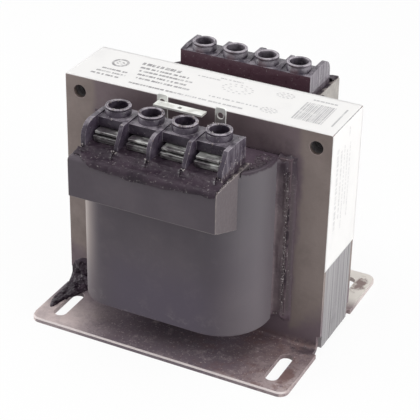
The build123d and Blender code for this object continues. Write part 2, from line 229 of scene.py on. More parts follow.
class Finish:
    """One procedural finish, patterned on Object coordinates."""

    def __init__(self, name, roughness=0.5, metallic=0.0, gloss=0.5):
        self.material = bpy.data.materials.new(name)
        self.material.use_nodes = True
        self.nodes = self.material.node_tree.nodes
        self.shader = self.nodes["Principled BSDF"]
        self.shader.inputs["Roughness"].default_value = roughness
        self.shader.inputs["Metallic"].default_value = metallic
        self.shader.inputs["Specular IOR Level"].default_value = gloss
        coordinates = self.nodes.new("ShaderNodeTexCoord")
        self.place = coordinates.outputs["Object"]
        self.facing = coordinates.outputs["Normal"]
        self.colour = None

    def join(self, source, target):
        """Link a socket, or set a plain value on the target."""
        if isinstance(source, bpy.types.NodeSocket):
            self.material.node_tree.links.new(source, target)
        else:
            target.default_value = source

    def add(self, kind, inputs, **settings):
        """Add a node with its settings, and join its inputs by name or number."""
        node = self.nodes.new(kind)
        for key, value in settings.items():
            setattr(node, key, value)
        for key, value in inputs.items():
            self.join(value, node.inputs[key])
        return node

    def noise(self, scale, detail=4.0, roughness=0.55, stretch=None):
        """Return soft noise between 0 and 1, stretched along the axes where asked."""
        place = self.place
        if stretch:
            place = self.add("ShaderNodeMapping", {"Scale": stretch, "Vector": place}).outputs["Vector"]
        inputs = {"Scale": scale, "Detail": detail, "Roughness": roughness, "Vector": place}
        return self.add("ShaderNodeTexNoise", inputs).outputs["Fac"]

    def specks(self, scale, size):
        """Return small round specks, 1 inside a speck."""
        texture = self.add("ShaderNodeTexVoronoi", {"Scale": scale, "Vector": self.place})
        return self.span(texture.outputs["Distance"], size, size * 0.55)

    def axis(self, name, source=None):
        """Return one coordinate of the place, or of another vector."""
        return self.add("ShaderNodeSeparateXYZ", {"Vector": source or self.place}).outputs[name]

    def away(self, name, source=None):
        """Return how far one coordinate lies from zero."""
        return self.sum("ABSOLUTE", self.axis(name, source))

    def span(self, value, low, high, to_low=0.0, to_high=1.0):
        """Map a value smoothly from one span to another."""
        inputs = {"Value": value, "From Min": low, "From Max": high, "To Min": to_low, "To Max": to_high}
        return self.add("ShaderNodeMapRange", inputs, interpolation_type="SMOOTHSTEP").outputs["Result"]

    def sum(self, operation, first, second=0.0, third=0.5):
        """Return the result of a sum on one, two or three values."""
        inputs = {0: first, 1: second, 2: third}
        return self.add("ShaderNodeMath", inputs, operation=operation).outputs["Value"]

    def fold(self, operation, values):
        """Return the result of the same sum on several values in turn."""
        result = values[0]
        for value in values[1:]:
            result = self.sum(operation, result, value)
        return result

    def product(self, *values):
        """Return the product of several values."""
        return self.fold("MULTIPLY", values)

    def largest(self, *values):
        """Return the largest of several values."""
        return self.fold("MAXIMUM", values)

    def mix(self, factor, first, second):
        """Return a colour between two colours."""
        inputs = {0: factor}
        for key, colour in ((6, first), (7, second)):
            inputs[key] = colour if isinstance(colour, bpy.types.NodeSocket) else (*colour, 1.0)
        return self.add("ShaderNodeMix", inputs, data_type="RGBA").outputs[2]

    def coat(self, mask, tone):
        """Lay a tone over the colour so far, where the mask is 1."""
        self.colour = self.mix(mask, self.colour, tone)

    def worn(self):
        """Return 1 on the rounded edges of a piece and 0 elsewhere."""
        return self.add("ShaderNodeAttribute", {}, attribute_name="wear").outputs["Fac"]

    def paint(self, pattern=None, smooth=0.0, rough=1.0):
        """Join the colour, and a roughness that follows a pattern."""
        self.join(self.colour, self.shader.inputs["Base Color"])
        if pattern is not None:
            self.join(self.span(pattern, 0.3, 0.7, smooth, rough), self.shader.inputs["Roughness"])

    def emboss(self, height, distance, strength=1.0):
        """Give the surface a fine relief."""
        node = self.add("ShaderNodeBump", {"Distance": distance, "Strength": strength, "Height": height})
        self.join(node.outputs["Normal"], self.shader.inputs["Normal"])


def stain(finish, across, depth, middle, size, ragged):
    """Return a ragged round stain on a foot, 1 at its middle."""
    wide = finish.product(finish.sum("SUBTRACT", across, middle[0]), 1.0 / size[0])
    long = finish.product(finish.sum("SUBTRACT", depth, middle[1]), 1.0 / size[1])
    away = finish.sum("MULTIPLY_ADD", wide, wide, finish.product(long, long))
    return finish.span(finish.sum("ADD", away, ragged), 1.6, 0.1)


def frame_finish():
    """Return varnished sheet steel: dark varnish round the coil, deepened by painted shade beside it, and
    mottled bare metal on the feet, with painted highlights on their front edges and painted shade on their
    front faces.
    """
    tones = finishes()
    finish = Finish("frame_steel_varnish", metallic=0.1, gloss=0.35)
    blotch = finish.noise(42.0, detail=6.0, roughness=0.62)
    smear = finish.noise(190.0, detail=7.0, roughness=0.72)
    grain = finish.noise(520.0, roughness=0.7)
    grit = finish.noise(1100.0, detail=3.0, roughness=0.7)
    across = finish.axis("X")
    depth = finish.axis("Y")
    height = finish.axis("Z")
    side = finish.sum("ABSOLUTE", across)
    reach = finish.sum("ABSOLUTE", depth)
    drift = finish.span(blotch, 0.25, 0.75, -0.006, 0.006)
    wide = finish.sum("ADD", side, drift)
    tall = finish.sum("ADD", height, drift)
    above = finish.product(
        finish.span(tall, 0.072, 0.081), finish.span(tall, 0.097, 0.089, 0.35, 1.0),
        finish.span(finish.sum("MULTIPLY_ADD", drift, 0.4, side), 0.0446, 0.0408),
        finish.span(blotch, 0.35, 0.62, 0.30, 0.70),
    )
    # Beside the coil, along the window's edge, the dark is partly varnish and partly painted shade in the gap
    # between coil and frame.
    beside = finish.product(
        finish.span(finish.sum("MULTIPLY_ADD", drift, 0.3, side), 0.0464, 0.0432),
        finish.span(tall, 0.087, 0.078, 0.65, 0.9),
    )
    bend = finish.product(finish.span(finish.sum("MULTIPLY_ADD", side, -0.7, tall), -0.014, -0.024), 0.8)
    varnish = finish.largest(above, beside, bend)
    worn_face = finish.mix(finish.span(blotch, 0.40, 0.68), tones.frame_grey, tones.frame_brown)
    upright = finish.mix(varnish, worn_face, tones.frame_dark)
    stray = finish.sum("MULTIPLY_ADD", drift, 0.4, across)
    soaked = finish.product(
        finish.span(tall, 0.075, 0.083), finish.span(tall, 0.096, 0.087), finish.span(stray, 0.020, 0.030),
        finish.span(stray, 0.0442, 0.0408), finish.span(smear, 0.40, 0.60, 0.10, 0.35),
    )
    upright = finish.mix(soaked, upright, tones.varnish_brown)
    spread = finish.sum("ADD", across, drift)
    corner = finish.largest(
        finish.span(spread, -0.020, -0.046, 0.07, 1.0), finish.span(spread, 0.028, 0.055, 0.07, 0.66),
    )
    rim = finish.span(finish.sum("MULTIPLY_ADD", drift, 0.25, reach), 0.0446, 0.0482, 0.0, 0.7)
    rim = finish.product(rim, finish.span(finish.sum("ADD", side, drift), 0.022, 0.048, 0.30, 1.0))
    outer = finish.span(finish.sum("ADD", reach, drift), 0.016, 0.042)
    bare = finish.product(corner, outer, finish.span(smear, 0.36, 0.54, 0.72, 1.0))
    heel = finish.product(finish.span(spread, 0.036, 0.050), finish.span(smear, 0.36, 0.60, 0.12, 0.38))
    bare = finish.largest(bare, rim, heel, finish.span(depth, 0.020, 0.030, 0.0, 0.85))
    film = finish.mix(finish.span(spread, 0.020, 0.046, 0.0, 0.50), tones.foot_dark, tones.foot_rust)
    foot = finish.mix(bare, film, tones.foot_metal)
    rust = finish.product(finish.span(smear, 0.49, 0.62), finish.span(across, -0.010, 0.048, 0.08, 0.65))
    foot = finish.mix(finish.product(rust, finish.span(depth, 0.0, -0.01)), foot, tones.foot_rust)
    calm = finish.product(
        finish.span(across, -0.045, -0.020, 0.15, 1.0), finish.span(depth, 0.020, 0.030, 1.0, 0.3),
    )
    foot = finish.mix(finish.product(finish.span(grain, 0.50, 0.64, 0.0, 0.55), calm), foot, tones.frame_dark)
    foot = finish.mix(finish.product(finish.span(smear, 0.46, 0.36, 0.0, 0.22), calm), foot, tones.foot_metal)
    foot = finish.mix(finish.product(finish.span(grit, 0.58, 0.70, 0.0, 0.6), calm), foot, tones.foot_metal)
    pale = finish.product(
        finish.span(depth, 0.018, 0.028), finish.span(wide, 0.034, 0.046, 0.0, 0.92),
        finish.span(finish.axis("Z", finish.facing), 0.4, 0.9, 0.35, 1.0),
    )
    foot = finish.mix(pale, foot, tones.foot_pale)
    ragged = finish.span(smear, 0.3, 0.7, -1.2, 1.2)
    for middle, size, strength, tone in (
        ((0.0528, 0.0376), (0.0026, 0.0054), 0.85, tones.foot_rust),
        ((0.0528, -0.0372), (0.0024, 0.0056), 0.80, tones.foot_rust),
        ((0.0515, -0.0172), (0.0062, 0.0030), 0.70, tones.varnish_brown),
    ):
        spot = stain(finish, across, depth, middle, size, ragged)
        foot = finish.mix(finish.product(spot, strength), foot, tone)
    # Painted shade: the feet's narrow front faces are darker than their tops.
    face = finish.product(finish.span(reach, 0.0476, 0.0479), 0.55)
    foot = finish.mix(face, foot, tones.foot_dark)
    low = finish.span(height, 0.0065, 0.0028)
    finish.colour = finish.mix(low, upright, foot)
    edge = finish.product(finish.worn(), finish.span(blotch, 0.35, 0.6, 0.85, 0.35))
    finish.coat(edge, tones.foot_metal)
    # Painted highlight along the feet's upper front edges, partly wear.
    bright = finish.product(finish.worn(), low, finish.span(reach, 0.0455, 0.0470), 0.75)
    finish.coat(bright, tones.foot_edge)
    finish.paint(grain, 0.40, 0.62)
    finish.emboss(finish.sum("ADD", grain, blotch), 0.0003, 0.4)
    return finish.material


def sheet_finish():
    """Return the sheared edges of core sheets, each a slightly different grey."""
    tones = finishes()
    finish = Finish("core_sheet_edges", metallic=0.2)
    streak = finish.noise(1.0, detail=2.0, stretch=(60.0, 1250.0, 14.0))
    blot = finish.noise(55.0, detail=5.0)
    groove = finish.span(streak, 0.46, 0.70, 0.0, 0.75)
    finish.colour = finish.mix(groove, tones.sheet_grey, tones.sheet_dark)
    finish.coat(finish.span(blot, 0.62, 0.80, 0.0, 0.5), tones.sheet_dark)
    shade = finish.span(finish.axis("Z"), 0.050, 0.010, 0.0, 0.22)
    finish.coat(shade, tones.sheet_dark)
    finish.paint(streak, 0.40, 0.55)
    finish.emboss(streak, 0.0002, 0.3)
    return finish.material


def wrap_finish():
    """Return the smooth grey wrap, faintly clouded, with a painted highlight down its left edge and painted
    light on its right side.
    """
    tones = finishes()
    finish = Finish("coil_wrap_grey", gloss=0.3)
    cloud = finish.noise(38.0, detail=5.0, roughness=0.6)
    fibre = finish.noise(1.0, stretch=(240.0, 240.0, 900.0))
    scuff = finish.noise(150.0, detail=6.0, roughness=0.7)
    across = finish.axis("X")
    height = finish.axis("Z")
    foot = finish.span(height, 0.024, 0.0145)
    pale = finish.product(finish.span(scuff, 0.52, 0.72), finish.sum("MULTIPLY_ADD", foot, 0.5, 0.06))
    # Painted light, not dust: the wrap grows paler towards its right side, where the right lamp falls.
    dust = finish.span(across, 0.022, 0.038, 0.0, 0.30)
    finish.colour = finish.mix(finish.span(cloud, 0.35, 0.68), tones.wrap_grey, tones.wrap_light)
    # Painted sheen: the wrap's upper right is paler and cooler, where the key light falls.
    cool = finish.product(finish.span(across, 0.012, 0.030), finish.span(height, 0.030, 0.075), 0.35)
    finish.coat(cool, tones.wrap_sheen)
    middle = finish.span(finish.away("X"), 0.030, 0.014)
    finish.coat(finish.product(finish.span(height, 0.050, 0.026), middle, 0.8), tones.wrap_violet)
    finish.coat(finish.largest(pale, dust), tones.wrap_pale)
    # Painted highlight: a pale warm band down the wrap's left edge, where the left lamp catches its rounded
    # corner.
    left = finish.product(
        finish.span(across, -0.0255, -0.0355), finish.span(height, 0.018, 0.048, 0.15, 0.95),
        finish.span(finish.axis("Y"), -0.022, -0.034),
    )
    finish.coat(left, tones.wrap_left_highlight)
    # The wrap's rounded edges are paled, partly wear, partly painted highlight.
    finish.coat(finish.product(finish.worn(), 0.12), tones.wrap_pale)
    ragged = finish.sum("MULTIPLY_ADD", finish.span(scuff, 0.3, 0.7, -1.0, 1.0), 0.0008, height)
    crust = finish.product(finish.span(ragged, 0.0848, 0.0856), finish.span(across, 0.026, 0.031, 0.0, 0.9))
    finish.coat(crust, tones.varnish_brown)
    finish.paint(cloud, 0.42, 0.54)
    finish.emboss(finish.sum("ADD", fibre, scuff), 0.00015, 0.3)
    return finish.material


def winding_finish():
    """Return the winding's side, level turns under grey varnish with pale grains."""
    tones = finishes()
    finish = Finish("winding_varnish", roughness=0.45, gloss=0.3)
    inputs = {"Scale": 420.0, "Distortion": 1.5, "Vector": finish.place}
    turns = finish.add("ShaderNodeTexWave", inputs, bands_direction="Z").outputs["Fac"]
    blot = finish.noise(170.0, detail=5.0)
    crest = finish.span(turns, 0.0, 1.0, 0.35, 1.0)
    finish.colour = finish.mix(crest, tones.varnish_dark, tones.winding_brown)
    finish.coat(finish.span(blot, 0.50, 0.68, 0.0, 0.8), tones.varnish_dark)
    finish.coat(finish.product(finish.specks(520.0, 0.22), 0.7), tones.fleck_pale)
    finish.paint()
    finish.emboss(turns, 0.00015, 0.5)
    return finish.material


def board_finish():
    """Return insulating board soaked in varnish, with pale grains."""
    tones = finishes()
    finish = Finish("insulating_board", roughness=0.45, gloss=0.35)
    fibre = finish.noise(1.0, detail=5.0, stretch=(500.0, 500.0, 90.0))
    blot = finish.noise(150.0, detail=6.0, roughness=0.65)
    finish.colour = finish.mix(fibre, tones.board_brown, tones.varnish_thin)
    finish.coat(finish.span(blot, 0.44, 0.62, 0.0, 0.9), tones.varnish_dark)
    finish.coat(finish.product(finish.specks(480.0, 0.24), 0.8), tones.fleck_pale)
    finish.paint()
    finish.emboss(finish.sum("ADD", fibre, blot), 0.0003, 0.6)
    return finish.material


def tray_finish():
    """Return the trays' grey moulding, with dried varnish on the ledge, scuffed ends, painted light on the
    right ends, and pale edges that are partly wear, partly painted highlight.
    """
    tones = finishes()
    finish = Finish("tray_grey_moulding", gloss=0.3)
    cloud = finish.noise(52.0, detail=5.0)
    fine = finish.noise(650.0, detail=3.0)
    scuff = finish.span(finish.noise(260.0, detail=6.0, roughness=0.7), 0.44, 0.62)
    up = finish.span(finish.axis("Z", finish.facing), 0.55, 0.9)
    far = finish.away("X")
    ends = finish.span(far, 0.0285, 0.0303)
    ledge = finish.mix(finish.product(scuff, ends), tones.varnish_dark, tones.scuff_brown)
    face = finish.mix(finish.span(cloud, 0.35, 0.7), tones.tray_grey, tones.wrap_light)
    rear = finish.span(finish.axis("Y"), 0.030, 0.034)
    # Painted light: the trays' right-facing end faces are paler, where the right lamp falls.
    right_end_light = finish.product(finish.span(finish.axis("X", finish.facing), 0.85, 0.97), 0.22)
    face = finish.mix(right_end_light, face, tones.scuff_brown)
    across = finish.axis("X")
    # Painted light, not dust: the rear tray's right end is paler, where the right lamp falls.
    lit_rear_end = finish.product(finish.span(across, 0.0285, 0.0303), finish.span(scuff, 0.0, 1.0, 0.72, 0.95))
    face = finish.mix(finish.product(rear, lit_rear_end), face, tones.tray_end_light)
    ragged = finish.sum("MULTIPLY_ADD", finish.span(cloud, 0.3, 0.7, -0.5, 0.5), 0.004, across)
    dry = finish.product(finish.span(ragged, -0.019, -0.025), 0.85)
    ledge = finish.mix(dry, ledge, face)
    finish.colour = finish.mix(up, face, ledge)
    # The trays' rounded edges are paled, partly wear, partly painted highlight.
    rim = finish.product(finish.span(far, 0.0300, 0.0306), finish.span(scuff, 0.0, 1.0, 0.2, 0.8))
    edge = finish.product(finish.worn(), finish.largest(finish.span(cloud, 0.3, 0.6, 0.65, 0.2), rim))
    finish.coat(edge, tones.scuff_brown)
    finish.paint(fine, 0.40, 0.56)
    finish.emboss(fine, 0.0001, 0.3)
    return finish.material


def block_finish():
    """Return black moulding with thin pale edges, partly wear and partly painted highlight, tops paled by
    dust and painted sheen, reddish inner walls and streaked ends.
    """
    tones = finishes()
    finish = Finish("terminal_block_moulding", gloss=0.32)
    patch = finish.noise(240.0, detail=6.0, roughness=0.65)
    drip = finish.noise(1.0, detail=5.0, stretch=(620.0, 620.0, 45.0))
    grit = finish.noise(1000.0, detail=3.0, roughness=0.7)
    height = finish.axis("Z")
    flat = finish.span(finish.away("Y", finish.facing), 0.80, 0.98)
    inner = finish.span(finish.away("Y"), 0.0305, 0.0297)
    finish.colour = finish.mix(finish.span(patch, 0.40, 0.70), tones.block_black, tones.block_grey)
    finish.coat(finish.product(flat, inner), tones.block_wall)
    rear = finish.span(finish.axis("Y"), 0.020, 0.030)
    crown = finish.product(finish.span(height, 0.0965, 0.0985), finish.span(patch, 0.35, 0.65, 0.10, 0.40))
    finish.coat(finish.product(rear, crown), tones.block_edge)
    # Up-facing faces near the block's top are paled, partly dust, partly painted sheen of the overhead light.
    up = finish.span(finish.axis("Z", finish.facing), 0.5, 0.95)
    dust = finish.product(up, finish.span(height, 0.0945, 0.0965), finish.span(patch, 0.42, 0.64, 0.05, 0.50))
    finish.coat(dust, tones.block_edge)
    ends = finish.span(finish.away("X", finish.facing), 0.85, 0.98)
    outside = finish.span(finish.away("X"), 0.0284, 0.0289)
    bold = finish.product(rear, finish.span(drip, 0.38, 0.62, 0.24, 0.60))
    streak = finish.product(ends, outside, finish.largest(bold, finish.span(drip, 0.44, 0.68, 0.03, 0.30)))
    finish.coat(streak, tones.block_edge)
    # The thin pale edges are partly wear, partly painted highlight.
    edge = finish.product(finish.worn(), finish.span(patch, 0.40, 0.58, 0.25, 1.0))
    finish.coat(edge, tones.block_edge)
    puddle = finish.product(finish.span(height, 0.0894, 0.0884), finish.span(patch, 0.35, 0.60, 1.0, 0.7))
    finish.coat(puddle, tones.varnish_brown)
    finish.coat(finish.span(grit, 0.63, 0.72, 0.0, 0.6), tones.fleck_pale)
    finish.paint(patch, 0.24, 0.46)
    finish.emboss(finish.sum("MULTIPLY_ADD", drip, 0.5, patch), 0.0004, 0.6)
    return finish.material


def metal_finish(name, tone, dark, metallic, roughness, scale):
    """Return plated metal with a fine grain and dull patches."""
    finish = Finish(name, metallic=metallic)
    grain = finish.noise(1.0, stretch=(scale, scale * 0.25, scale))
    dull = finish.noise(scale * 0.4, detail=5.0)
    finish.colour = finish.mix(finish.span(dull, 0.44, 0.64), tone, dark)
    finish.coat(finish.product(finish.worn(), 0.5), WORN_METAL)
    finish.paint(grain, roughness, roughness + 0.18)
    finish.emboss(grain, 0.0001, 0.4)
    return finish.material


def label_finish():
    """Return white label stock, faintly clouded."""
    tones = finishes()
    finish = Finish("label_white_sheet", roughness=0.42)
    cloud = finish.noise(70.0, detail=5.0)
    speck = finish.noise(900.0, detail=3.0)
    finish.colour = finish.mix(finish.span(cloud, 0.50, 0.80, 0.0, 0.35), tones.label_white, LABEL_CLOUD)
    finish.paint()
    finish.emboss(speck, 0.00005, 0.3)
    return finish.material


def ink_finish():
    """Return the grey of the label's plain marks, darker to the left and fainter down the side."""
    tones = finishes()
    finish = Finish("label_grey_marks", roughness=0.5)
    worn = finish.noise(420.0)
    left = finish.span(finish.axis("X"), -0.004, -0.016, 0.0, 0.85)
    finish.colour = finish.mix(left, tones.label_ink, tones.label_dark)
    finish.coat(finish.span(worn, 0.45, 0.70, 0.0, 0.65), tones.label_white)
    finish.coat(finish.span(finish.axis("Z"), 0.0965, 0.0955, 0.0, 0.5), tones.label_white)
    finish.paint()
    return finish.material


def varnish_finish():
    """Return thick dried varnish, purple black with pale dust grains."""
    tones = finishes()
    finish = Finish("dried_varnish", gloss=0.20)
    depth = finish.noise(130.0)
    skin = finish.noise(420.0)
    grit = finish.noise(1100.0, detail=3.0, roughness=0.7)
    finish.colour = finish.mix(finish.span(depth, 0.35, 0.65), tones.varnish_dark, tones.varnish_brown)
    inner = finish.span(finish.away("Y"), 0.0300, 0.0285)
    # Painted light: the varnish on the winding's top is paler, lifting the shade the block casts there.
    cap = finish.product(inner, finish.span(finish.axis("Z"), 0.079, 0.081), 0.8)
    finish.coat(cap, tones.varnish_thin)
    finish.coat(finish.span(grit, 0.60, 0.72, 0.0, 0.5), tones.fleck_pale)
    finish.paint(skin, 0.26, 0.52)
    finish.emboss(finish.sum("MULTIPLY_ADD", skin, 0.5, depth), 0.0004, 0.5)
    return finish.material


def seam_finish():
    """Return greyer varnish in the windows, fading into the frame with darker varnish and painted shade in
    the corner, darker towards the bottom, with a few pale grains.
    """
    tones = finishes()
    finish = Finish("seam_varnish", roughness=0.45, gloss=0.3)
    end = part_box("right_window_liner")[1].x
    blot = finish.noise(120.0, detail=5.0, roughness=0.6)
    grit = finish.noise(900.0, detail=3.0, roughness=0.7)
    side = finish.away("X")
    finish.colour = finish.mix(finish.span(blot, 0.38, 0.66, 0.0, 0.6), tones.seam_grey, tones.varnish_brown)
    # Darker towards the frame: partly varnish, partly painted shade in the corner between liner and frame.
    finish.coat(finish.span(side, end - 0.0030, end - 0.0008), tones.seam_edge)
    finish.coat(finish.span(side, end + 0.0004, end + 0.0017, 0.0, 0.4), tones.frame_dark)
    # Darker towards the bottom.
    finish.coat(finish.span(finish.axis("Z"), 0.019, 0.013, 0.0, 0.8), tones.frame_dark)
    finish.coat(finish.span(finish.axis("Z"), 0.070, 0.081, 0.0, 0.85), tones.varnish_brown)
    line = finish.span(finish.sum("ABSOLUTE", finish.sum("SUBTRACT", side, end - 0.0012)), 0.0012, 0.0003)
    grains = finish.product(finish.span(grit, 0.57, 0.68), finish.span(line, 0.0, 1.0, 0.15, 0.8))
    finish.coat(grains, tones.fleck_pale)
    finish.paint()
    finish.emboss(finish.sum("ADD", blot, grit), 0.0002, 0.4)
    return finish.material


def fleck_finish():
    """Return pale dried drops and dust, also used for painted glints on the front block's edges."""
    tones = finishes()
    finish = Finish("pale_flecks", roughness=0.4, gloss=0.4)
    cloud = finish.noise(600.0, detail=3.0)
    finish.colour = finish.mix(finish.span(cloud, 0.35, 0.65), tones.fleck_pale, tones.board_brown)
    finish.paint()
    return finish.material


def clamp_metal():
    """Return the clamp plates' plated finish, with painted glint streaks, darker on the lower plates, and
    painted shade towards the left.
    """
    tones = finishes()
    finish = Finish("clamp_zinc_plate", metallic=0.45)
    grain = finish.noise(1.0, stretch=(560.0, 140.0, 560.0))
    dull = finish.noise(230.0, detail=6.0, roughness=0.65)
    finish.colour = finish.mix(finish.span(dull, 0.44, 0.64), tones.clamp_zinc, tones.clamp_dull)
    # The lower plates are darker.
    lower = finish.span(finish.axis("Z"), 0.0913, 0.0908, 0.0, 0.45)
    # Painted shade: the clamps grow darker towards the left.
    left = finish.span(finish.axis("X"), 0.002, -0.018, 0.0, 0.72)
    finish.coat(finish.largest(lower, left), tones.clamp_dull)
    # Painted glints: bright streaks along the clamp plates.
    streak = finish.noise(1.0, detail=3.0, stretch=(150.0, 420.0, 420.0))
    finish.coat(finish.span(streak, 0.52, 0.66, 0.0, 0.75), tones.clamp_edge)
    # Pale clamp edges, partly wear, partly painted highlight.
    edge = finish.product(finish.worn(), finish.span(dull, 0.40, 0.60, 0.65, 0.15))
    finish.coat(edge, tones.clamp_edge)
    finish.paint(grain, 0.28, 0.48)
    finish.emboss(finish.sum("ADD", grain, dull), 0.0002, 0.5)
    return finish.material


def screw_metal():
    """Return the dull finish of the screws."""
    return metal_finish("screw_dull_steel", finishes().screw_steel, SCREW_DARK, 0.6, 0.38, 900.0)


def tin_metal():
    """Return the bright finish of the strap."""
    return metal_finish("bright_tinned_sheet", finishes().bright_tin, STRAP_DARK, 0.35, 0.30, 500.0)


def clip_metal():
    """Return the clips' finish: painted highlights on the tops and edges, and duller legs."""
    tones = finishes()
    finish = Finish("clip_dull_sheet", metallic=0.25)
    grain = finish.noise(1.0, stretch=(420.0, 105.0, 420.0))
    dull = finish.noise(170.0, detail=5.0)
    finish.colour = finish.mix(finish.span(dull, 0.44, 0.64, 0.0, 0.6), tones.clip_grey, tones.clamp_dull)
    # Painted highlight: the clips' tops and edges are painted bright.
    finish.coat(finish.span(finish.axis("Z"), 0.0958, 0.0975, 0.0, 0.95), tones.bright_tin)
    finish.coat(finish.product(finish.worn(), 0.9), tones.bright_tin)
    finish.paint(grain, 0.36, 0.54)
    finish.emboss(grain, 0.0001, 0.4)
    return finish.material


FINISHES = {
    "frame_steel_varnish": frame_finish,
    "core_sheet_edges": sheet_finish,
    "coil_wrap_grey": wrap_finish,
    "winding_varnish": winding_finish,
    "insulating_board": board_finish,
    "tray_grey_moulding": tray_finish,
    "terminal_block_moulding": block_finish,
    "label_white_sheet": label_finish,
    "label_grey_marks": ink_finish,
    "dried_varnish": varnish_finish,
    "seam_varnish": seam_finish,
    "pale_flecks": fleck_finish,
    "clamp_zinc_plate": clamp_metal,
    "screw_dull_steel": screw_metal,
    "bright_tinned_sheet": tin_metal,
    "clip_dull_sheet": clip_metal,
}


def finish_named(name):
    """Return a finish, made the first time it is asked for."""
    return bpy.data.materials.get(name) or FINISHES[name]()


def solid_copy(node):
    """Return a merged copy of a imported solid, its flat faces whole again."""
    mesh = bmesh.new()
    mesh.from_mesh(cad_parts[node].data)
    bmesh.ops.remove_doubles(mesh, verts=mesh.verts, dist=1e-6)
    bmesh.ops.dissolve_limit(
        mesh, angle_limit=math.radians(0.4), use_dissolve_boundaries=False, verts=mesh.verts, edges=mesh.edges
    )
    return mesh


def sharp_edges(mesh, angle=35.0):
    """Return the edges at which two faces meet sharply."""
    limit = math.radians(angle)
    return [edge for edge in mesh.edges if edge.is_manifold and edge.calc_face_angle() > limit]


def soften(mesh, width, edges=None, segments=2):
    """Round the sharp edges, and mark the new faces as worn."""
    wear = mesh.faces.layers.float.get("wear") or mesh.faces.layers.float.new("wear")
    made = bmesh.ops.bevel(
        mesh, geom=sharp_edges(mesh) if edges is None else edges, offset=width, offset_type="OFFSET",
        affect="EDGES", segments=segments, profile=0.5, material=-1, clamp_overlap=True, loop_slide=True,
    )
    for face in made["faces"]:
        face[wear] = 1.0


def cut_across(mesh, place, direction):
    """Cut all faces along a plane and keep both sides."""
    everything = mesh.verts[:] + mesh.edges[:] + mesh.faces[:]
    bmesh.ops.bisect_plane(mesh, geom=everything, dist=1e-8, plane_co=place, plane_no=direction)


def grid_points(mesh, wide, long):
    """Add a grid, and return its vertices with their places on it, from 0 to 1 both ways."""
    verts = bmesh.ops.create_grid(mesh, x_segments=wide, y_segments=long, size=0.5)["verts"]
    return [(vert, vert.co.x + 0.5, vert.co.y + 0.5) for vert in verts]


def face_towards(mesh, direction):
    """Turn the faces so that most of their area looks in a direction."""
    bmesh.ops.recalc_face_normals(mesh, faces=mesh.faces)
    if sum(face.normal.dot(direction) * face.calc_area() for face in mesh.faces) < 0.0:
        bmesh.ops.reverse_faces(mesh, faces=mesh.faces)


def thicken(piece, thickness, offset):
    """Give a sheet its thickness."""
    solid = piece.modifiers.new("Thickness", "SOLIDIFY")
    solid.thickness = thickness
    solid.offset = offset


def outer_face(node, side):
    """Return the y at which a piece of one side reaches farthest out."""
    low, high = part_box(node)
    return low.y if side == "front" else high.y


def frame_face():
    """Return how far the end frames' outer faces lie from the middle."""
    return FRAME_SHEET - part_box("core_e_stack")[0].y


def settle(name, mesh, finish, replaced=(), smooth=20.0):
    """Turn a bmesh into a finished piece that rides with the transformer."""
    data = bpy.data.meshes.new(name)
    mesh.to_mesh(data)
    mesh.free()
    data.shade_smooth()
    data.set_sharp_from_angle(angle=math.radians(smooth))
    data.materials.clear()
    data.materials.append(finish_named(finish))
    piece = bpy.data.objects.new(name, data)
    bpy.context.scene.collection.objects.link(piece)
    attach(piece, "root")
    if replaced:
        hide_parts(*replaced)
    return piece


def dress(node, finish):
    """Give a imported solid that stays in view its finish."""
    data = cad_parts[node].data
    data.materials.clear()
    data.materials.append(finish_named(finish))


def build_rounded(node, name, width, finish):
    """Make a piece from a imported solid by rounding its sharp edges."""
    mesh = solid_copy(node)
    soften(mesh, width)
    settle(name, mesh, finish, (node,))


def build_sheets(node, name):
    """Cut the stack into sheets with grooves between them, each sheet standing a little proud or back."""
    setting = sizes()
    rng = random.Random(node)
    low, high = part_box(node)
    mesh = solid_copy(node)
    pitch = (high.y - low.y) / setting.sheet_count
    half_groove = pitch * GROOVE_SHARE
    across = Vector((0.0, 1.0, 0.0))
    for index in range(1, setting.sheet_count):
        middle = low.y + pitch * index
        for place in (middle - half_groove, middle, middle + half_groove):
            cut_across(mesh, across * place, across)
    mesh.normal_update()
    proud = [rng.uniform(-setting.sheet_shift, setting.sheet_shift) for index in range(setting.sheet_count)]
    moves = []
    for vert in mesh.verts:
        outward = Vector((vert.normal.x, 0.0, vert.normal.z))
        if outward.length < 0.3:
            continue
        outward.normalize()
        along = (vert.co.y - low.y) / pitch
        sheet = min(max(int(along), 0), setting.sheet_count - 1)
        if abs(along - round(along)) * pitch < half_groove * 0.5 and 0.5 < along < setting.sheet_count - 0.5:
            moves.append((vert, outward * -setting.sheet_groove))
        else:
            moves.append((vert, outward * proud[sheet]))
    for vert, move in moves:
        vert.co += move
    settle(name, mesh, "core_sheet_edges", (node,))


def build_end_frame(side):
    """Round the edges of one end frame, most of all the foot's upper front edge."""
    setting = sizes()
    node = side + "_end_frame"
    reach = abs(outer_face(node, side)) - TOE_DEPTH
    mesh = solid_copy(node)
    toes = [
        edge for edge in sharp_edges(mesh)
        if all(abs(vert.co.y) > reach and abs(vert.co.z - FRAME_SHEET) < 1e-5 for vert in edge.verts)
    ]
    soften(mesh, setting.toe_edge, toes, 3)
    soften(mesh, setting.steel_edge)
    settle(side + "_frame_steel", mesh, "frame_steel_varnish", (node,))


def terminal_place(side, number):
    """Return the axis of one terminal's screw, at the top of its head."""
    low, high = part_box(f"{side}_screw_{number}")
    return Vector(((low.x + high.x) / 2, (low.y + high.y) / 2, high.z))


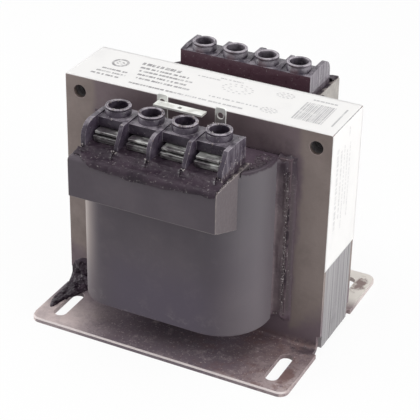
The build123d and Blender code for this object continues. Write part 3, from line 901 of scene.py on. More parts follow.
def build_edge_glints(block):
    """Scatter small pale beads along the front block's worn edges, as painted glints of wet varnish."""
    rng = random.Random(41)
    wear = block.faces.layers.float["wear"]
    places = [
        (face.calc_center_median(), max(face.calc_area(), 1e-12)) for face in block.faces
        if face[wear] > 0.5 and face.normal.y < 0.3 and face.normal.z > -0.3
    ]
    # A bevel returns its faces in no fixed order, so they are sorted by place before the draw.
    places.sort(key=lambda item: item[0].dot(SORT_DIRECTION))
    centres = [centre for centre, area in places]
    areas = [area for centre, area in places]
    mesh = bmesh.new()
    for place in rng.choices(centres, areas, k=170):
        add_bead(mesh, place, rng.uniform(0.00014, 0.00042), (1.0, 0.8, rng.uniform(0.8, 1.6)), 1)
    settle("block_edge_glints", mesh, "pale_flecks", smooth=60.0)


def build_block(side):
    """Round a terminal block's edges and rims, and cut a groove below each rim."""
    setting = sizes()
    node = side + "_terminal_block"
    mesh = solid_copy(node)
    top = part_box(node)[1].z
    groove = top - setting.rim_height
    for place in (groove - GROOVE_HALF, groove, groove + GROOVE_HALF):
        cut_across(mesh, UP * place, UP)
    centres = [terminal_place(side, number) for number in TERMINALS]
    for vert in mesh.verts:
        if abs(vert.co.z - groove) > 1e-7:
            continue
        centre = min(centres, key=lambda place: (place.xy - vert.co.xy).length)
        outward = vert.co.xy - centre.xy
        if outward.length > COLLAR_REACH:
            vert.co.xy -= outward.normalized() * setting.collar_groove
    mesh.normal_update()
    rims = [edge for edge in sharp_edges(mesh) if all(abs(vert.co.z - top) < 1e-6 for vert in edge.verts)]
    soften(mesh, setting.collar_round, rims, 3)
    soften(mesh, setting.block_edge, sharp_edges(mesh, 50.0))
    if side == "front":
        build_edge_glints(mesh)
    settle(side + "_block_moulding", mesh, "terminal_block_moulding", (node,), 25.0)


def build_plate(node):
    """Round the edges of one clamp plate, and turn the front edge of a lower one down."""
    setting = sizes()
    mesh = solid_copy(node)
    soften(mesh, setting.clamp_edge)
    if "_plate_" in node:
        low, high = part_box(node)
        front = low.y + setting.lip_depth / 2 if low.y < 0.0 else high.y - setting.lip_depth / 2
        tall = setting.lip_drop + (high.z - low.z) / 2
        shape = Matrix.Translation(((low.x + high.x) / 2, front, low.z - setting.lip_drop + tall / 2))
        shape @= Matrix.Diagonal((high.x - low.x - LIP_PLAY, setting.lip_depth, tall, 1.0))
        verts = bmesh.ops.create_cube(mesh, size=1.0, matrix=shape)["verts"]
        edges = list({edge for vert in verts for edge in vert.link_edges})
        soften(mesh, setting.lip_depth * 0.45, edges, 3)
    settle(node + "_metal", mesh, "clamp_zinc_plate", (node,))


def build_screw(side, number):
    """Make one slotted screw: a chamfered head with a slot, and a plain shank."""
    setting = sizes()
    node = f"{side}_screw_{number}"
    low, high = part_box(node)
    saddle_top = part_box(f"{side}_saddle_{number}")[1].z
    radius = (high.x - low.x) / 2
    floor = high.z - setting.slot_depth
    turn = random.Random(node).uniform(0.0, math.pi)
    mesh = bmesh.new()
    for level, height, width in (
        ((saddle_top + floor) / 2, floor - saddle_top, radius),
        ((low.z + saddle_top) / 2, saddle_top - low.z, SCREW_SHANK),
    ):
        bmesh.ops.create_cone(
            mesh, cap_ends=True, segments=40, radius1=width, radius2=width, depth=height,
            matrix=Matrix.Translation((0.0, 0.0, level)),
        )
    for sense in (-1.0, 1.0):
        half = bmesh.ops.create_cone(
            mesh, cap_ends=True, segments=40, radius1=radius, radius2=radius, depth=setting.slot_depth,
            matrix=Matrix.Translation((0.0, 0.0, (floor + high.z) / 2)),
        )["verts"]
        faces = list({face for vert in half for face in vert.link_faces})
        edges = list({edge for vert in half for edge in vert.link_edges})
        cut = bmesh.ops.bisect_plane(
            mesh, geom=half + edges + faces, dist=1e-8, plane_co=(0.0, sense * setting.slot_width / 2, 0.0),
            plane_no=(0.0, -sense, 0.0), clear_outer=True,
        )
        rim = [item for item in cut["geom_cut"] if isinstance(item, bmesh.types.BMEdge)]
        bmesh.ops.contextual_create(mesh, geom=rim)
    crown = [
        edge for edge in sharp_edges(mesh)
        if all(vert.co.z > high.z - 1e-6 and vert.co.xy.length > radius * 0.97 for vert in edge.verts)
    ]
    soften(mesh, SCREW_CHAMFER, crown)
    bmesh.ops.recalc_face_normals(mesh, faces=mesh.faces)
    centre = terminal_place(side, number)
    place = Matrix.Translation((centre.x, centre.y, 0.0)) @ Matrix.Rotation(turn, 4, "Z")
    bmesh.ops.transform(mesh, matrix=place, verts=mesh.verts)
    settle(node + "_slotted", mesh, "screw_dull_steel", (node,))


def build_label():
    """Lay the label over the core's top and down its right side, with a slight ripple and plain marks."""
    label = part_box("rating_label")
    low, high = label
    length = high.x - low.x + high.z - low.z
    mesh = bmesh.new()
    for vert, along, aside in grid_points(mesh, 160, 20):
        run = along * length
        across = low.y + aside * (high.y - low.y)
        vert.co = label_place(label, run, across, LABEL_LIFT + ripple(run, across))
    bmesh.ops.recalc_face_normals(mesh, faces=mesh.faces)
    sheet = settle("label_sheet", mesh, "label_white_sheet", ("rating_label",), 60.0)
    thicken(sheet, LABEL_SHEET, 1.0)
    build_marks(label)


def build_marks(label):
    """Add the label's plain marks: rows of bars, a striped block, rings, and columns down the side."""
    low, high = label
    rng = random.Random(11)
    mesh = bmesh.new()
    for start, end, across, tall in (
        (0.0225, 0.0400, 0.0078, 0.0021), (0.0235, 0.0450, 0.0042, 0.0013),
        (0.0245, 0.0480, 0.0012, 0.0013), (0.0255, 0.0470, -0.0020, 0.0013),
        (0.0265, 0.0500, -0.0052, 0.0013), (0.0100, 0.0215, -0.0030, 0.0011),
        (0.0090, 0.0220, -0.0058, 0.0011), (0.0080, 0.0210, -0.0086, 0.0011),
        (0.0260, 0.0760, -0.0102, 0.0011), (0.0590, 0.0800, -0.0060, 0.0009),
        (0.0470, 0.0570, 0.0085, 0.0008), (0.0560, 0.0660, 0.0105, 0.0007),
        (0.0960, 0.1060, 0.0098, 0.0010), (0.1105, 0.1112, 0.0, 0.0160),
    ):
        add_words(mesh, rng, label, start, end, across, tall)
    stripe = 0.0945
    while stripe < 0.1065:
        thick = rng.choice((0.0003, 0.0003, 0.0005, 0.0007))
        add_mark(mesh, label, stripe, stripe + thick, -0.0085, 0.0070)
        stripe += thick + rng.choice((0.00025, 0.0004))
    add_ring(mesh, label, 0.0144, 0.0040, 0.0036, 0.0010)
    for run, across, reach, count in (
        (0.0144, 0.0040, 0.0016, 6), (0.0662, 0.0046, 0.0062, 16), (0.0662, 0.0046, 0.0036, 9),
        (0.0850, 0.0082, 0.0034, 12), (0.0850, 0.0082, 0.0016, 6), (0.0846, -0.0066, 0.0032, 12),
        (0.0846, -0.0066, 0.0014, 6),
    ):
        add_dots(mesh, label, run, across, reach, count)
    edge = high.x - low.x
    for start, end, across, tall in (
        (0.008, 0.044, -0.0088, 0.0018), (0.010, 0.040, -0.0052, 0.0012), (0.009, 0.045, -0.0022, 0.0008),
        (0.012, 0.036, 0.0006, 0.0008), (0.010, 0.042, 0.0034, 0.0008), (0.003, 0.007, 0.0020, 0.0008),
    ):
        add_words(mesh, rng, label, edge + start, edge + end, across, tall)
    settle("label_marks", mesh, "label_grey_marks")


def ripple(run, across):
    """Return the label's height above the core at one place."""
    swell = noise.noise(Vector((run * 45.0, across * 60.0, 3.7)))
    return sizes().label_ripple * (0.5 + 0.5 * swell)


def label_place(label, run, across, lift):
    """Return a point of the label: along the core's top, round its corner, or down its side."""
    low, high = label
    bend = sizes().label_bend
    straight = high.x - low.x - bend
    arc = bend * math.pi / 2
    top = high.z - LABEL_SKIN
    side = high.x - LABEL_SKIN
    if run <= straight:
        return Vector((low.x + run, across, top + lift))
    if run <= straight + arc:
        angle = (run - straight) / bend
        reach = bend + lift
        return Vector((side - bend + math.sin(angle) * reach, across, top - bend + math.cos(angle) * reach))
    return Vector((side + lift, across, max(top - bend - (run - straight - arc), low.z)))


def mark_place(label, run, across):
    """Return a point just above the label's surface."""
    return label_place(label, run, across, MARK_LIFT + sizes().label_print + ripple(run, across))


def add_mark(mesh, label, start, end, near, far):
    """Add one thin bar that follows the label."""
    for vert, along, aside in grid_points(mesh, 3, 2):
        vert.co = mark_place(label, start + along * (end - start), near + aside * (far - near))


def add_words(mesh, rng, label, start, end, across, tall):
    """Add a row of short bars with gaps between them."""
    run = start
    while run < end:
        stop = min(run + rng.uniform(0.0006, 0.0022), end)
        add_mark(mesh, label, run, stop, across - tall / 2, across + tall / 2)
        run = stop + rng.choice((0.00025, 0.0003, 0.0008))


def add_ring(mesh, label, run, across, reach, thin):
    """Add a plain ring that follows the label."""
    verts = bmesh.ops.create_circle(mesh, cap_ends=True, segments=32, radius=reach)["verts"]
    disc = verts[0].link_faces[0]
    band = bmesh.ops.inset_region(
        mesh, faces=[disc], thickness=thin, use_boundary=True, use_even_offset=True
    )["faces"]
    verts = list({vert for face in band for vert in face.verts})
    bmesh.ops.delete(mesh, geom=[disc], context="FACES_ONLY")
    for vert in verts:
        vert.co = mark_place(label, run + vert.co.x, across + vert.co.y)


def add_dots(mesh, label, run, across, reach, count):
    """Add a ring of short bars that follows the label."""
    for index in range(count):
        angle = math.tau * index / count
        middle = run + reach * math.cos(angle)
        level = across + reach * 0.62 * math.sin(angle)
        add_mark(mesh, label, middle - 0.0005, middle + 0.0005, level - 0.00022, level + 0.00022)


def build_link():
    """Round the edges of the strap and of both clips."""
    for node, slot, finish, edge in (
        ("link_strap", "strap", "bright_tinned_sheet", STRAP_EDGE),
        ("left_link_clip", "clip", "clip_dull_sheet", CLIP_EDGE),
        ("right_link_clip", "clip", "clip_dull_sheet", CLIP_EDGE),
    ):
        build_rounded(node, node + "_tinned", edge, finish)


def add_bead(mesh, place, size, squash, detail):
    """Add one flattened bead."""
    radii = Vector(squash) * size
    shape = Matrix.Translation(place) @ Matrix.Diagonal((*radii, 1.0))
    bmesh.ops.create_icosphere(mesh, subdivisions=detail, radius=1.0, matrix=shape)


def scatter(mesh, rng, count, place, size, squash, detail):
    """Add beads at drawn places and of drawn sizes, their heights drawn too where a span is given."""
    for index in range(count):
        spot = place()
        radius = rng.uniform(*size)
        tall = rng.uniform(*squash[2]) if isinstance(squash[2], tuple) else squash[2]
        add_bead(mesh, spot, radius, (squash[0], squash[1], tall), detail)


def build_beads():
    """Scatter dried drops in the right window, on the ledge, the block and the winding's top."""
    rng = random.Random(23)
    drops = bmesh.new()
    flecks = bmesh.new()
    liner_low, liner_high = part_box("right_window_liner")
    tray_low, tray_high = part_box("front_terminal_tray")
    block_low, block_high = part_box("front_terminal_block")
    ledge = tray_high.z + sizes().pool_depth
    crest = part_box("coil_winding")[1].z + sizes().cap_height
    face = -frame_face()

    def on_seam(spread, out, gap):
        """Return a drawn place on the varnish in the right window."""
        height = rng.uniform(liner_low.z + 0.001, liner_high.z - gap)
        return Vector((liner_low.x + rng.gauss(0.0040, spread), liner_low.y - out, height))

    def on_level(left, right, front, rear, height):
        """Return a drawn place on a level patch."""
        return Vector((rng.uniform(left, right), rng.uniform(front, rear), height))

    def on_front(foot):
        """Return a drawn place at the foot of the block's front."""
        across = foot + rng.gauss(0.0, 0.0007)
        return Vector((across, block_low.y - 0.0002, block_low.z + rng.uniform(0.0006, 0.003)))

    def on_edge():
        """Return a drawn place along the ledge's right edge."""
        depth = rng.uniform(tray_low.y + 0.001, tray_high.y - 0.012)
        return Vector((tray_high.x - 0.0002, depth, tray_high.z + rng.gauss(0.0001, 0.0003)))

    def on_end():
        """Return a drawn place on the block's right end, spread higher towards the back."""
        along = rng.random()
        height = block_low.z + rng.uniform(0.0005, 0.002 + 0.007 * along)
        return Vector((block_high.x, block_low.y + (block_high.y - block_low.y) * along, height))

    fine = (0.0001, 0.00022)
    flat = (1.2, 1.2, 0.6)
    run = (1.0, 0.7, (0.8, 2.2))
    grain = (1.0, 0.8, (0.8, 1.6))
    scatter(drops, rng, 120, lambda: on_seam(0.0004, 0.0003, 0.004), (0.0002, 0.0005), run, 2)
    scatter(flecks, rng, 130, lambda: on_seam(0.0008, 0.0005, 0.003), (0.0001, 0.00024), grain, 1)
    for across, rise, size in (
        (-0.0006, -0.0012, 0.0005), (-0.0012, -0.0003, 0.00035), (0.0002, 0.0006, 0.0003),
    ):
        drop = Vector((liner_high.x + across, face - 0.0004, liner_low.z + rise))
        add_bead(flecks, drop, size, (1.0, 0.7, 1.4), 2)
    left = tray_low.x + 0.001
    right = tray_high.x - 0.001
    near = tray_low.y + 0.0012
    far = block_low.y - 0.0002
    scatter(flecks, rng, 95, lambda: on_level(left, right, near, far, ledge), fine, flat, 1)
    places = [terminal_place("front", number).x for number in TERMINALS]
    feet = [(first + second) / 2 for first, second in zip(places, places[1:])]
    for foot in feet + [block_low.x + 0.001, block_high.x - 0.001]:
        scatter(flecks, rng, 7, lambda: on_front(foot), (0.00012, 0.00042), (1.0, 0.6, 1.2), 2)
    scatter(flecks, rng, 80, on_edge, (0.0001, 0.00034), (0.9, 1.6, 0.7), 1)
    scatter(flecks, rng, 70, on_end, fine, (0.5, 0.9, (1.2, 4.0)), 1)
    cap = block_high.x + 0.0004
    blob = (1.3, 1.1, 0.5)
    dust = (0.0001, 0.00026)
    scatter(flecks, rng, 70, lambda: on_level(cap, 0.0355, -0.031, -0.0165, crest), dust, flat, 1)
    scatter(drops, rng, 26, lambda: on_level(cap, 0.0345, -0.030, -0.0175, crest), (0.0004, 0.0011), blob, 2)
    settle("varnish_beads", drops, "seam_varnish", smooth=60.0)
    settle("varnish_flecks", flecks, "pale_flecks", smooth=60.0)


def build_cap():
    """Lay dried varnish over the winding's top, inside the wraps."""
    mesh = solid_copy("coil_winding")
    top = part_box("coil_winding")[1].z
    spare = [face for face in mesh.faces if min(vert.co.z for vert in face.verts) < top - 1e-6]
    bmesh.ops.delete(mesh, geom=spare, context="FACES")
    made = bmesh.ops.extrude_face_region(mesh, geom=mesh.faces[:], use_keep_orig=True)["geom"]
    raised = [item for item in made if isinstance(item, bmesh.types.BMVert)]
    bmesh.ops.translate(mesh, vec=(0.0, 0.0, sizes().cap_height), verts=raised)
    bmesh.ops.recalc_face_normals(mesh, faces=mesh.faces)
    settle("winding_varnish_cap", mesh, "dried_varnish")


def build_lumps():
    """Lay the thick varnish that ran down the front frame's lower left corner and out over the foot."""
    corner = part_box("front_end_frame")[0].x
    face = -frame_face()
    stations = (
        (0.0, 0.0140, 0.0060, 0.0125), (0.0, 0.0115, 0.0020, 0.0140), (0.0, 0.0080, 0.0002, 0.0150),
        (0.0, 0.0052, 0.0002, 0.0152), (0.0012, 0.0034, 0.0002, 0.0146),
        (0.0034, FRAME_SHEET, 0.0003, 0.0112), (0.0070, FRAME_SHEET, 0.0006, 0.0106),
        (0.0113, FRAME_SHEET, 0.0008, 0.0086), (0.0150, FRAME_SHEET, 0.0010, 0.0066),
        (0.0183, FRAME_SHEET, 0.0014, 0.0058), (0.0213, FRAME_SHEET, 0.0024, 0.0052),
        (0.0238, FRAME_SHEET, 0.0036, 0.0046),
    )
    mesh = bmesh.new()
    last = len(stations) - 1
    for vert, across, along in grid_points(mesh, 72, 150):
        run = along * last
        step = min(int(run), last - 1)
        share = run - step
        here = [first + (second - first) * share for first, second in zip(stations[step], stations[step + 1])]
        lean = min(max((run - 3.0) / 2.0, 0.0), 1.0) * math.pi / 2
        out = Vector((0.0, -math.cos(lean), math.sin(lean)))
        ragged = noise.noise(Vector((run * 1.9, 3.0 * round(across), 4.0))) * 0.0009
        x = corner + here[2] + (here[3] - here[2]) * across + ragged * max(across - 0.3, 0.0) * 1.4
        rim = max(1.0 - abs(2.0 * across - 1.0) ** 3, 0.0) ** 0.5
        ends = min(run, last - run, 1.0)
        base = Vector((x, face - here[0], here[1]))
        lump = 0.0008 + 0.0007 * noise.noise(base * 330.0) + 0.0003 * noise.noise(base * 900.0)
        vert.co = base + out * (rim * ends * max(lump, 0.0002) - 0.0001)
    face_towards(mesh, UP)
    settle("varnish_run", mesh, "dried_varnish", smooth=60.0)


def glide(path, along):
    """Return a point on a smooth curve through the points of a path."""
    step = min(int(along), len(path) - 2)
    share = along - step
    before = path[max(step - 1, 0)]
    near = path[step]
    far = path[step + 1]
    after = path[min(step + 2, len(path) - 1)]
    bend = before * 2.0 - near * 5.0 + far * 4.0 - after
    twist = near * 3.0 - before - far * 3.0 + after
    return near + ((far - before) * share + bend * share ** 2 + twist * share ** 3) * 0.5


def build_seam(side, sense):
    """Lay a fillet of varnish from one edge of a wrap over the liner's fold to the frame's face."""
    wrap_low, wrap_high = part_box(side + "_coil_wrap")
    liner_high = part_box("right_window_liner")[1]
    winding_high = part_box("coil_winding")[1]
    lowest = frame_face() + SEAM_SKIN
    edge = -wrap_high.y if side == "front" else wrap_low.y
    path = (
        Vector((winding_high.x + 0.0002, edge - 0.0004)),
        Vector((winding_high.x + 0.0010, edge - 0.0024)),
        Vector((liner_high.x - 0.0030, liner_high.y + 0.0004)),
        Vector((liner_high.x - 0.0012, liner_high.y + 0.0002)),
        Vector((liner_high.x + 0.0002, frame_face() + 0.0010)),
        Vector((liner_high.x + 0.0018, lowest)),
    )
    depth = OUTWARD[side]
    bottom = wrap_low.z - 0.0028
    top = winding_high.z + sizes().cap_height + 0.0012
    mesh = bmesh.new()
    for vert, across, along in grid_points(mesh, 24, 120):
        flat = glide(path, across * (len(path) - 1))
        hang = bottom + 0.0030 * noise.noise(Vector((flat.x * 300.0, sense, depth)))
        crest = top - 0.0008 * across ** 2
        crest += 0.0015 * noise.noise(Vector((flat.x * 400.0, depth, sense)))
        z = hang + along * (crest - hang)
        fade = math.sin(math.pi * across) ** 0.5
        rough = noise.noise(Vector((flat.x * 420.0, sense * 7.0 + depth, z * 160.0))) * 0.00022
        rough += noise.noise(Vector((flat.x * 1300.0, sense * 7.0 + depth, z * 1100.0))) * 0.00012
        drift = noise.noise(Vector((z * 90.0, sense * 3.0, depth))) * 0.0006 * across
        close = max(1.0 - (z - hang) / 0.0036, 1.0 - (crest - z) / 0.0022, 0.0)
        close = close * close * (3.0 - 2.0 * close)
        lie = flat.y + fade * (0.0003 + rough)
        lie += (lowest - lie) * close
        vert.co = Vector((sense * (flat.x + drift), depth * lie, z))
    face_towards(mesh, Vector((0.0, depth, 0.0)))
    name = side + ("_right_seam" if sense > 0.0 else "_left_seam")
    thicken(settle(name, mesh, "seam_varnish", smooth=60.0), SEAM_SHEET, -1.0)


def build_pool(side):
    """Lay dried varnish over a tray's ledge in front of the block, spilling over its edge here and there."""
    setting = sizes()
    tray_low, tray_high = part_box(side + "_terminal_tray")
    sense = OUTWARD[side]
    tray_edge = outer_face(side + "_terminal_tray", side)
    block_edge = outer_face(side + "_terminal_block", side)
    flat = abs(tray_edge - block_edge) - POOL_ROUND
    arc = POOL_ROUND * math.pi / 2
    mesh = bmesh.new()
    for vert, along, across in grid_points(mesh, 150, 28):
        x = tray_low.x + 0.0006 + along * (tray_high.x - tray_low.x - 0.0012)
        sag = math.sin(math.pi * along) ** 1.5
        rough = noise.noise(Vector((x * 160.0, 5.0, 1.0))) * 0.5
        rough += noise.noise(Vector((x * 420.0, 2.0, 1.0))) * 0.25
        spread = min(0.45 + (x - tray_low.x) / 0.012 * 0.55 + rough * 0.3, 1.0)
        run = across * spread * (flat + arc + setting.pool_spill * max(sag * 0.8 + rough * 0.45 - 0.1, -0.4))
        lift = 0.00005 + 0.00028 * noise.noise(Vector((x * 260.0, run * 260.0, 9.0)))
        lift += 0.00010 * noise.noise(Vector((x * 700.0, run * 700.0, 5.0)))
        lift += setting.pool_fillet * math.exp(-run / 0.0009)
        if run <= flat:
            vert.co = Vector((x, block_edge + sense * run, tray_high.z + lift))
        elif run <= flat + arc:
            angle = (run - flat) / POOL_ROUND
            reach = POOL_ROUND + lift
            y = tray_edge + sense * (math.sin(angle) * reach - POOL_ROUND)
            vert.co = Vector((x, y, tray_high.z - POOL_ROUND + math.cos(angle) * reach))
        else:
            vert.co = Vector((x, tray_edge + sense * lift, tray_high.z - POOL_ROUND - (run - flat - arc)))
    face_towards(mesh, UP)
    pool = settle(side + "_varnish_pool", mesh, "dried_varnish", smooth=60.0)
    thicken(pool, setting.pool_depth, 1.0)


def build_drifts(side):
    """Fill the foot of each terminal's bay with dried varnish that runs out over the block's front edge."""
    block_low, block_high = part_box(side + "_terminal_block")
    centres = sorted(terminal_place(side, number).x for number in TERMINALS)
    posts = [(first + second) / 2 for first, second in zip(centres, centres[1:])]
    end_wall = 0.0019
    half_wall = 0.0008
    walls = [block_low.x + end_wall] + [post + half_wall for post in posts]
    ends = [post - half_wall for post in posts] + [block_high.x - end_wall]
    sense = OUTWARD[side]
    front = abs(outer_face(side + "_terminal_block", side))
    floor = block_low.z + 0.0016
    path = (
        Vector((front + 0.0022, block_low.z + 0.0003)), Vector((front + 0.0010, block_low.z + 0.0007)),
        Vector((front + 0.0002, block_low.z + 0.0013)), Vector((front - 0.0006, floor + 0.0002)),
        Vector((front - 0.0030, floor + 0.0001)), Vector((front - 0.0070, floor + 0.0001)),
    )
    mesh = bmesh.new()
    for start, end in zip(walls, ends):
        for vert, across, along in grid_points(mesh, 26, 24):
            run = along * (len(path) - 1)
            step = min(int(run), len(path) - 2)
            flat = path[step].lerp(path[step + 1], run - step)
            wide = 0.0009 * max(1.0 - run / 2.0, 0.0)
            x = start - wide + across * (end - start + 2.0 * wide)
            bank = math.exp(-min(across, 1.0 - across) * (end - start) / 0.0009)
            rough = noise.noise(Vector((x * 420.0, run * 1.3, 2.0))) * 0.0003
            rough += noise.noise(Vector((x * 1100.0, run * 3.0, 6.0))) * 0.00012
            lift = max(0.00025 + rough + 0.0007 * bank, 0.00002) * min(run * 1.5, 1.0)
            lean = min(max((run - 1.0) / 2.0, 0.0), 1.0)
            out = Vector((0.0, sense * (1.0 - lean) * 0.8, 0.6 + 0.4 * lean))
            vert.co = Vector((x, sense * flat.x, flat.y)) + out * lift
    face_towards(mesh, UP)
    settle(side + "_varnish_drifts", mesh, "dried_varnish", smooth=60.0)


def build_stage():
    """Make the pale floor, the soft lamps, the sky and the camera."""
    stage = bpy.context.scene.transformer_stage
    scene = bpy.context.scene
    scene.view_settings.view_transform = "Standard"
    mesh = bmesh.new()
    bmesh.ops.create_grid(mesh, x_segments=8, y_segments=8, size=stage.floor_half)
    data = bpy.data.meshes.new("floor")
    mesh.to_mesh(data)
    mesh.free()
    floor = bpy.data.objects.new("floor", data)
    scene.collection.objects.link(floor)
    data.materials.append(floor_finish())
    aim = Vector(stage.camera_aim)
    for name, place, size, power in (
        ("right_lamp", Vector((0.90, -0.08, 0.42)), 0.55, stage.right_lamp),
        ("left_lamp", Vector((-0.90, -0.20, 0.42)), 0.50, stage.left_lamp),
        ("top_lamp", Vector((0.05, -0.05, 1.00)), 0.70, stage.top_lamp),
    ):
        light = bpy.data.lights.new(name, "AREA")
        light.shape = "SQUARE"
        light.size = size
        light.energy = power
        lamp = bpy.data.objects.new(name, light)
        lamp.location = place
        lamp.rotation_euler = (aim - place).to_track_quat("-Z", "Y").to_euler()
        scene.collection.objects.link(lamp)
    build_sky(stage.sky)
    view = bpy.data.cameras.new("photo_camera")
    view.lens = stage.camera_lens
    view.sensor_width = SENSOR_MILLIMETRES
    camera = bpy.data.objects.new("photo_camera", view)
    place = Vector(stage.camera_place)
    turn = (aim - place).to_track_quat("-Z", "Y") @ Quaternion((0.0, 0.0, 1.0), stage.camera_roll)
    camera.location = place
    camera.rotation_euler = turn.to_euler()
    scene.collection.objects.link(camera)
    scene.camera = camera


def seen_directly(tree):
    """Return 1 for camera, glossy and transmission rays."""
    path = tree.nodes.new("ShaderNodeLightPath")
    seen = path.outputs["Is Camera Ray"]
    for name in ("Is Glossy Ray", "Is Transmission Ray"):
        either = tree.nodes.new("ShaderNodeMath")
        either.operation = "MAXIMUM"
        tree.links.new(seen, either.inputs[0])
        tree.links.new(path.outputs[name], either.inputs[1])
        seen = either.outputs["Value"]
    return seen


def join_shaders(tree, factor, first, second, end):
    """Mix two shaders and lead them to the end of the tree."""
    mix = tree.nodes.new("ShaderNodeMixShader")
    tree.links.new(factor, mix.inputs["Fac"])
    tree.links.new(first, mix.inputs[1])
    tree.links.new(second, mix.inputs[2])
    tree.links.new(mix.outputs["Shader"], tree.nodes[end].inputs["Surface"])


def build_sky(strength):
    """Make an even sky that is white where it is seen directly."""
    world = bpy.data.worlds.new("even_sky")
    bpy.context.scene.world = world
    world.use_nodes = True
    tree = world.node_tree
    plain = tree.nodes["Background"]
    white = tree.nodes.new("ShaderNodeBackground")
    for shader, power in ((plain, strength), (white, 1.0)):
        shader.inputs["Color"].default_value = (1.0, 1.0, 1.0, 1.0)
        shader.inputs["Strength"].default_value = power
    backgrounds = plain.outputs["Background"], white.outputs["Background"]
    join_shaders(tree, seen_directly(tree), *backgrounds, "World Output")


def floor_finish():
    """Return a pale floor that looks white to the camera and still takes a soft shadow."""
    material = bpy.data.materials.new("pale_floor")
    material.use_nodes = True
    tree = material.node_tree
    shader = tree.nodes["Principled BSDF"]
    shader.inputs["Base Color"].default_value = (0.90, 0.90, 0.90, 1.0)
    shader.inputs["Roughness"].default_value = 0.9
    glow = tree.nodes.new("ShaderNodeEmission")
    glow.inputs["Strength"].default_value = 1.0
    share = tree.nodes.new("ShaderNodeMath")
    share.operation = "MULTIPLY"
    share.inputs[1].default_value = 0.92
    tree.links.new(seen_directly(tree), share.inputs[0])
    join_shaders(
        tree, share.outputs["Value"], shader.outputs["BSDF"], glow.outputs["Emission"], "Material Output"
    )
    return material


class TRANSFORMER_OT_core(bpy.types.Operator):
    """Build the core's sheets."""

    bl_idname = "transformer.core"
    bl_label = "Core sheets"

    def execute(self, context):
        build_sheets("core_e_stack", "core_e_sheets")
        build_sheets("core_i_stack", "core_i_sheets")
        return {"FINISHED"}


class TRANSFORMER_OT_frames(bpy.types.Operator):
    """Build the two end frames with their feet."""

    bl_idname = "transformer.frames"
    bl_label = "End frames"

    def execute(self, context):
        for side in SIDES:
            build_end_frame(side)
        return {"FINISHED"}


class TRANSFORMER_OT_coil(bpy.types.Operator):
    """Build the coil's wraps and dress the winding, the tube and the liners."""

    bl_idname = "transformer.coil"
    bl_label = "Coil"

    def execute(self, context):
        for side in SIDES:
            name = side + "_wrap_cover"
            build_rounded(side + "_coil_wrap", name, sizes().wrap_edge, "coil_wrap_grey")
        dress("coil_winding", "winding_varnish")
        for node in ("winding_tube", "left_window_liner", "right_window_liner"):
            dress(node, "insulating_board")
        return {"FINISHED"}


class TRANSFORMER_OT_trays(bpy.types.Operator):
    """Build the two terminal trays."""

    bl_idname = "transformer.trays"
    bl_label = "Terminal trays"

    def execute(self, context):
        for side in SIDES:
            name = side + "_tray_moulding"
            build_rounded(side + "_terminal_tray", name, sizes().tray_edge, "tray_grey_moulding")
        return {"FINISHED"}


class TRANSFORMER_OT_blocks(bpy.types.Operator):
    """Build the two terminal blocks."""

    bl_idname = "transformer.blocks"
    bl_label = "Terminal blocks"

    def execute(self, context):
        for side in SIDES:
            build_block(side)
        return {"FINISHED"}


class TRANSFORMER_OT_clamps(bpy.types.Operator):
    """Build the clamp plates and the screws of all terminals."""

    bl_idname = "transformer.clamps"
    bl_label = "Clamps and screws"

    def execute(self, context):
        for side in SIDES:
            for number in TERMINALS:
                build_plate(f"{side}_plate_{number}")
                build_plate(f"{side}_saddle_{number}")
                build_screw(side, number)
        return {"FINISHED"}


class TRANSFORMER_OT_label(bpy.types.Operator):
    """Build the label sheet and its plain marks."""

    bl_idname = "transformer.label"
    bl_label = "Label"

    def execute(self, context):
        build_label()
        return {"FINISHED"}


class TRANSFORMER_OT_link(bpy.types.Operator):
    """Build the link strap and its clips."""

    bl_idname = "transformer.link"
    bl_label = "Strap and clips"

    def execute(self, context):
        build_link()
        return {"FINISHED"}


class TRANSFORMER_OT_varnish(bpy.types.Operator):
    """Build the dried varnish."""

    bl_idname = "transformer.varnish"
    bl_label = "Dried varnish"

    def execute(self, context):
        for side in SIDES:
            build_pool(side)
            build_drifts(side)
            for sense in (-1.0, 1.0):
                build_seam(side, sense)
        build_cap()
        build_lumps()
        build_beads()
        return {"FINISHED"}


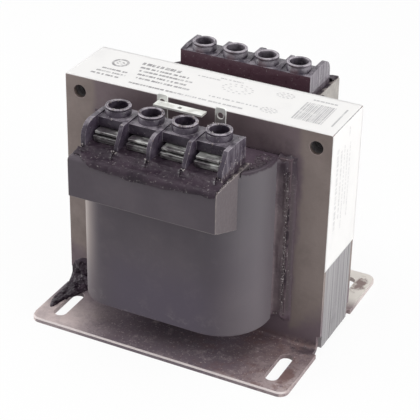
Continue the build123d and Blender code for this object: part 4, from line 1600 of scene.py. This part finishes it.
class TRANSFORMER_OT_stage(bpy.types.Operator):
    """Build the floor, the lamps, the sky and the camera."""

    bl_idname = "transformer.stage"
    bl_label = "Stage"

    def execute(self, context):
        build_stage()
        return {"FINISHED"}


class TRANSFORMER_PT_panel(bpy.types.Panel):
    """List the transformer's settings and steps."""

    bl_idname = "TRANSFORMER_PT_panel"
    bl_label = "Control transformer"
    bl_space_type = "VIEW_3D"
    bl_region_type = "UI"
    bl_category = "Transformer"

    def draw(self, context):
        scene = context.scene
        for group in (scene.transformer_sizes, scene.transformer_finishes, scene.transformer_stage):
            column = self.layout.column()
            for name in group.__annotations__:
                column.prop(group, name)
        for step in STEPS:
            self.layout.operator(step.bl_idname)


STEPS = (
    TRANSFORMER_OT_core,
    TRANSFORMER_OT_frames,
    TRANSFORMER_OT_coil,
    TRANSFORMER_OT_trays,
    TRANSFORMER_OT_blocks,
    TRANSFORMER_OT_clamps,
    TRANSFORMER_OT_label,
    TRANSFORMER_OT_link,
    TRANSFORMER_OT_varnish,
    TRANSFORMER_OT_stage,
)
CLASSES = (TransformerSizes, TransformerFinishes, TransformerStage) + STEPS + (TRANSFORMER_PT_panel,)


def register():
    """Register the classes and the settings."""
    for item in CLASSES:
        bpy.utils.register_class(item)
    bpy.types.Scene.transformer_sizes = bpy.props.PointerProperty(type=TransformerSizes)
    bpy.types.Scene.transformer_finishes = bpy.props.PointerProperty(type=TransformerFinishes)
    bpy.types.Scene.transformer_stage = bpy.props.PointerProperty(type=TransformerStage)


def unregister():
    """Remove the settings and the classes."""
    del bpy.types.Scene.transformer_stage
    del bpy.types.Scene.transformer_finishes
    del bpy.types.Scene.transformer_sizes
    for item in reversed(CLASSES):
        bpy.utils.unregister_class(item)


def main():
    """Build the whole transformer and its stage."""
    register()
    bpy.ops.transformer.core()
    bpy.ops.transformer.frames()
    bpy.ops.transformer.coil()
    bpy.ops.transformer.trays()
    bpy.ops.transformer.blocks()
    bpy.ops.transformer.clamps()
    bpy.ops.transformer.label()
    bpy.ops.transformer.link()
    bpy.ops.transformer.varnish()
    bpy.ops.transformer.stage()
    bpy.context.view_layer.update()


if __name__ == "__main__":
    main()
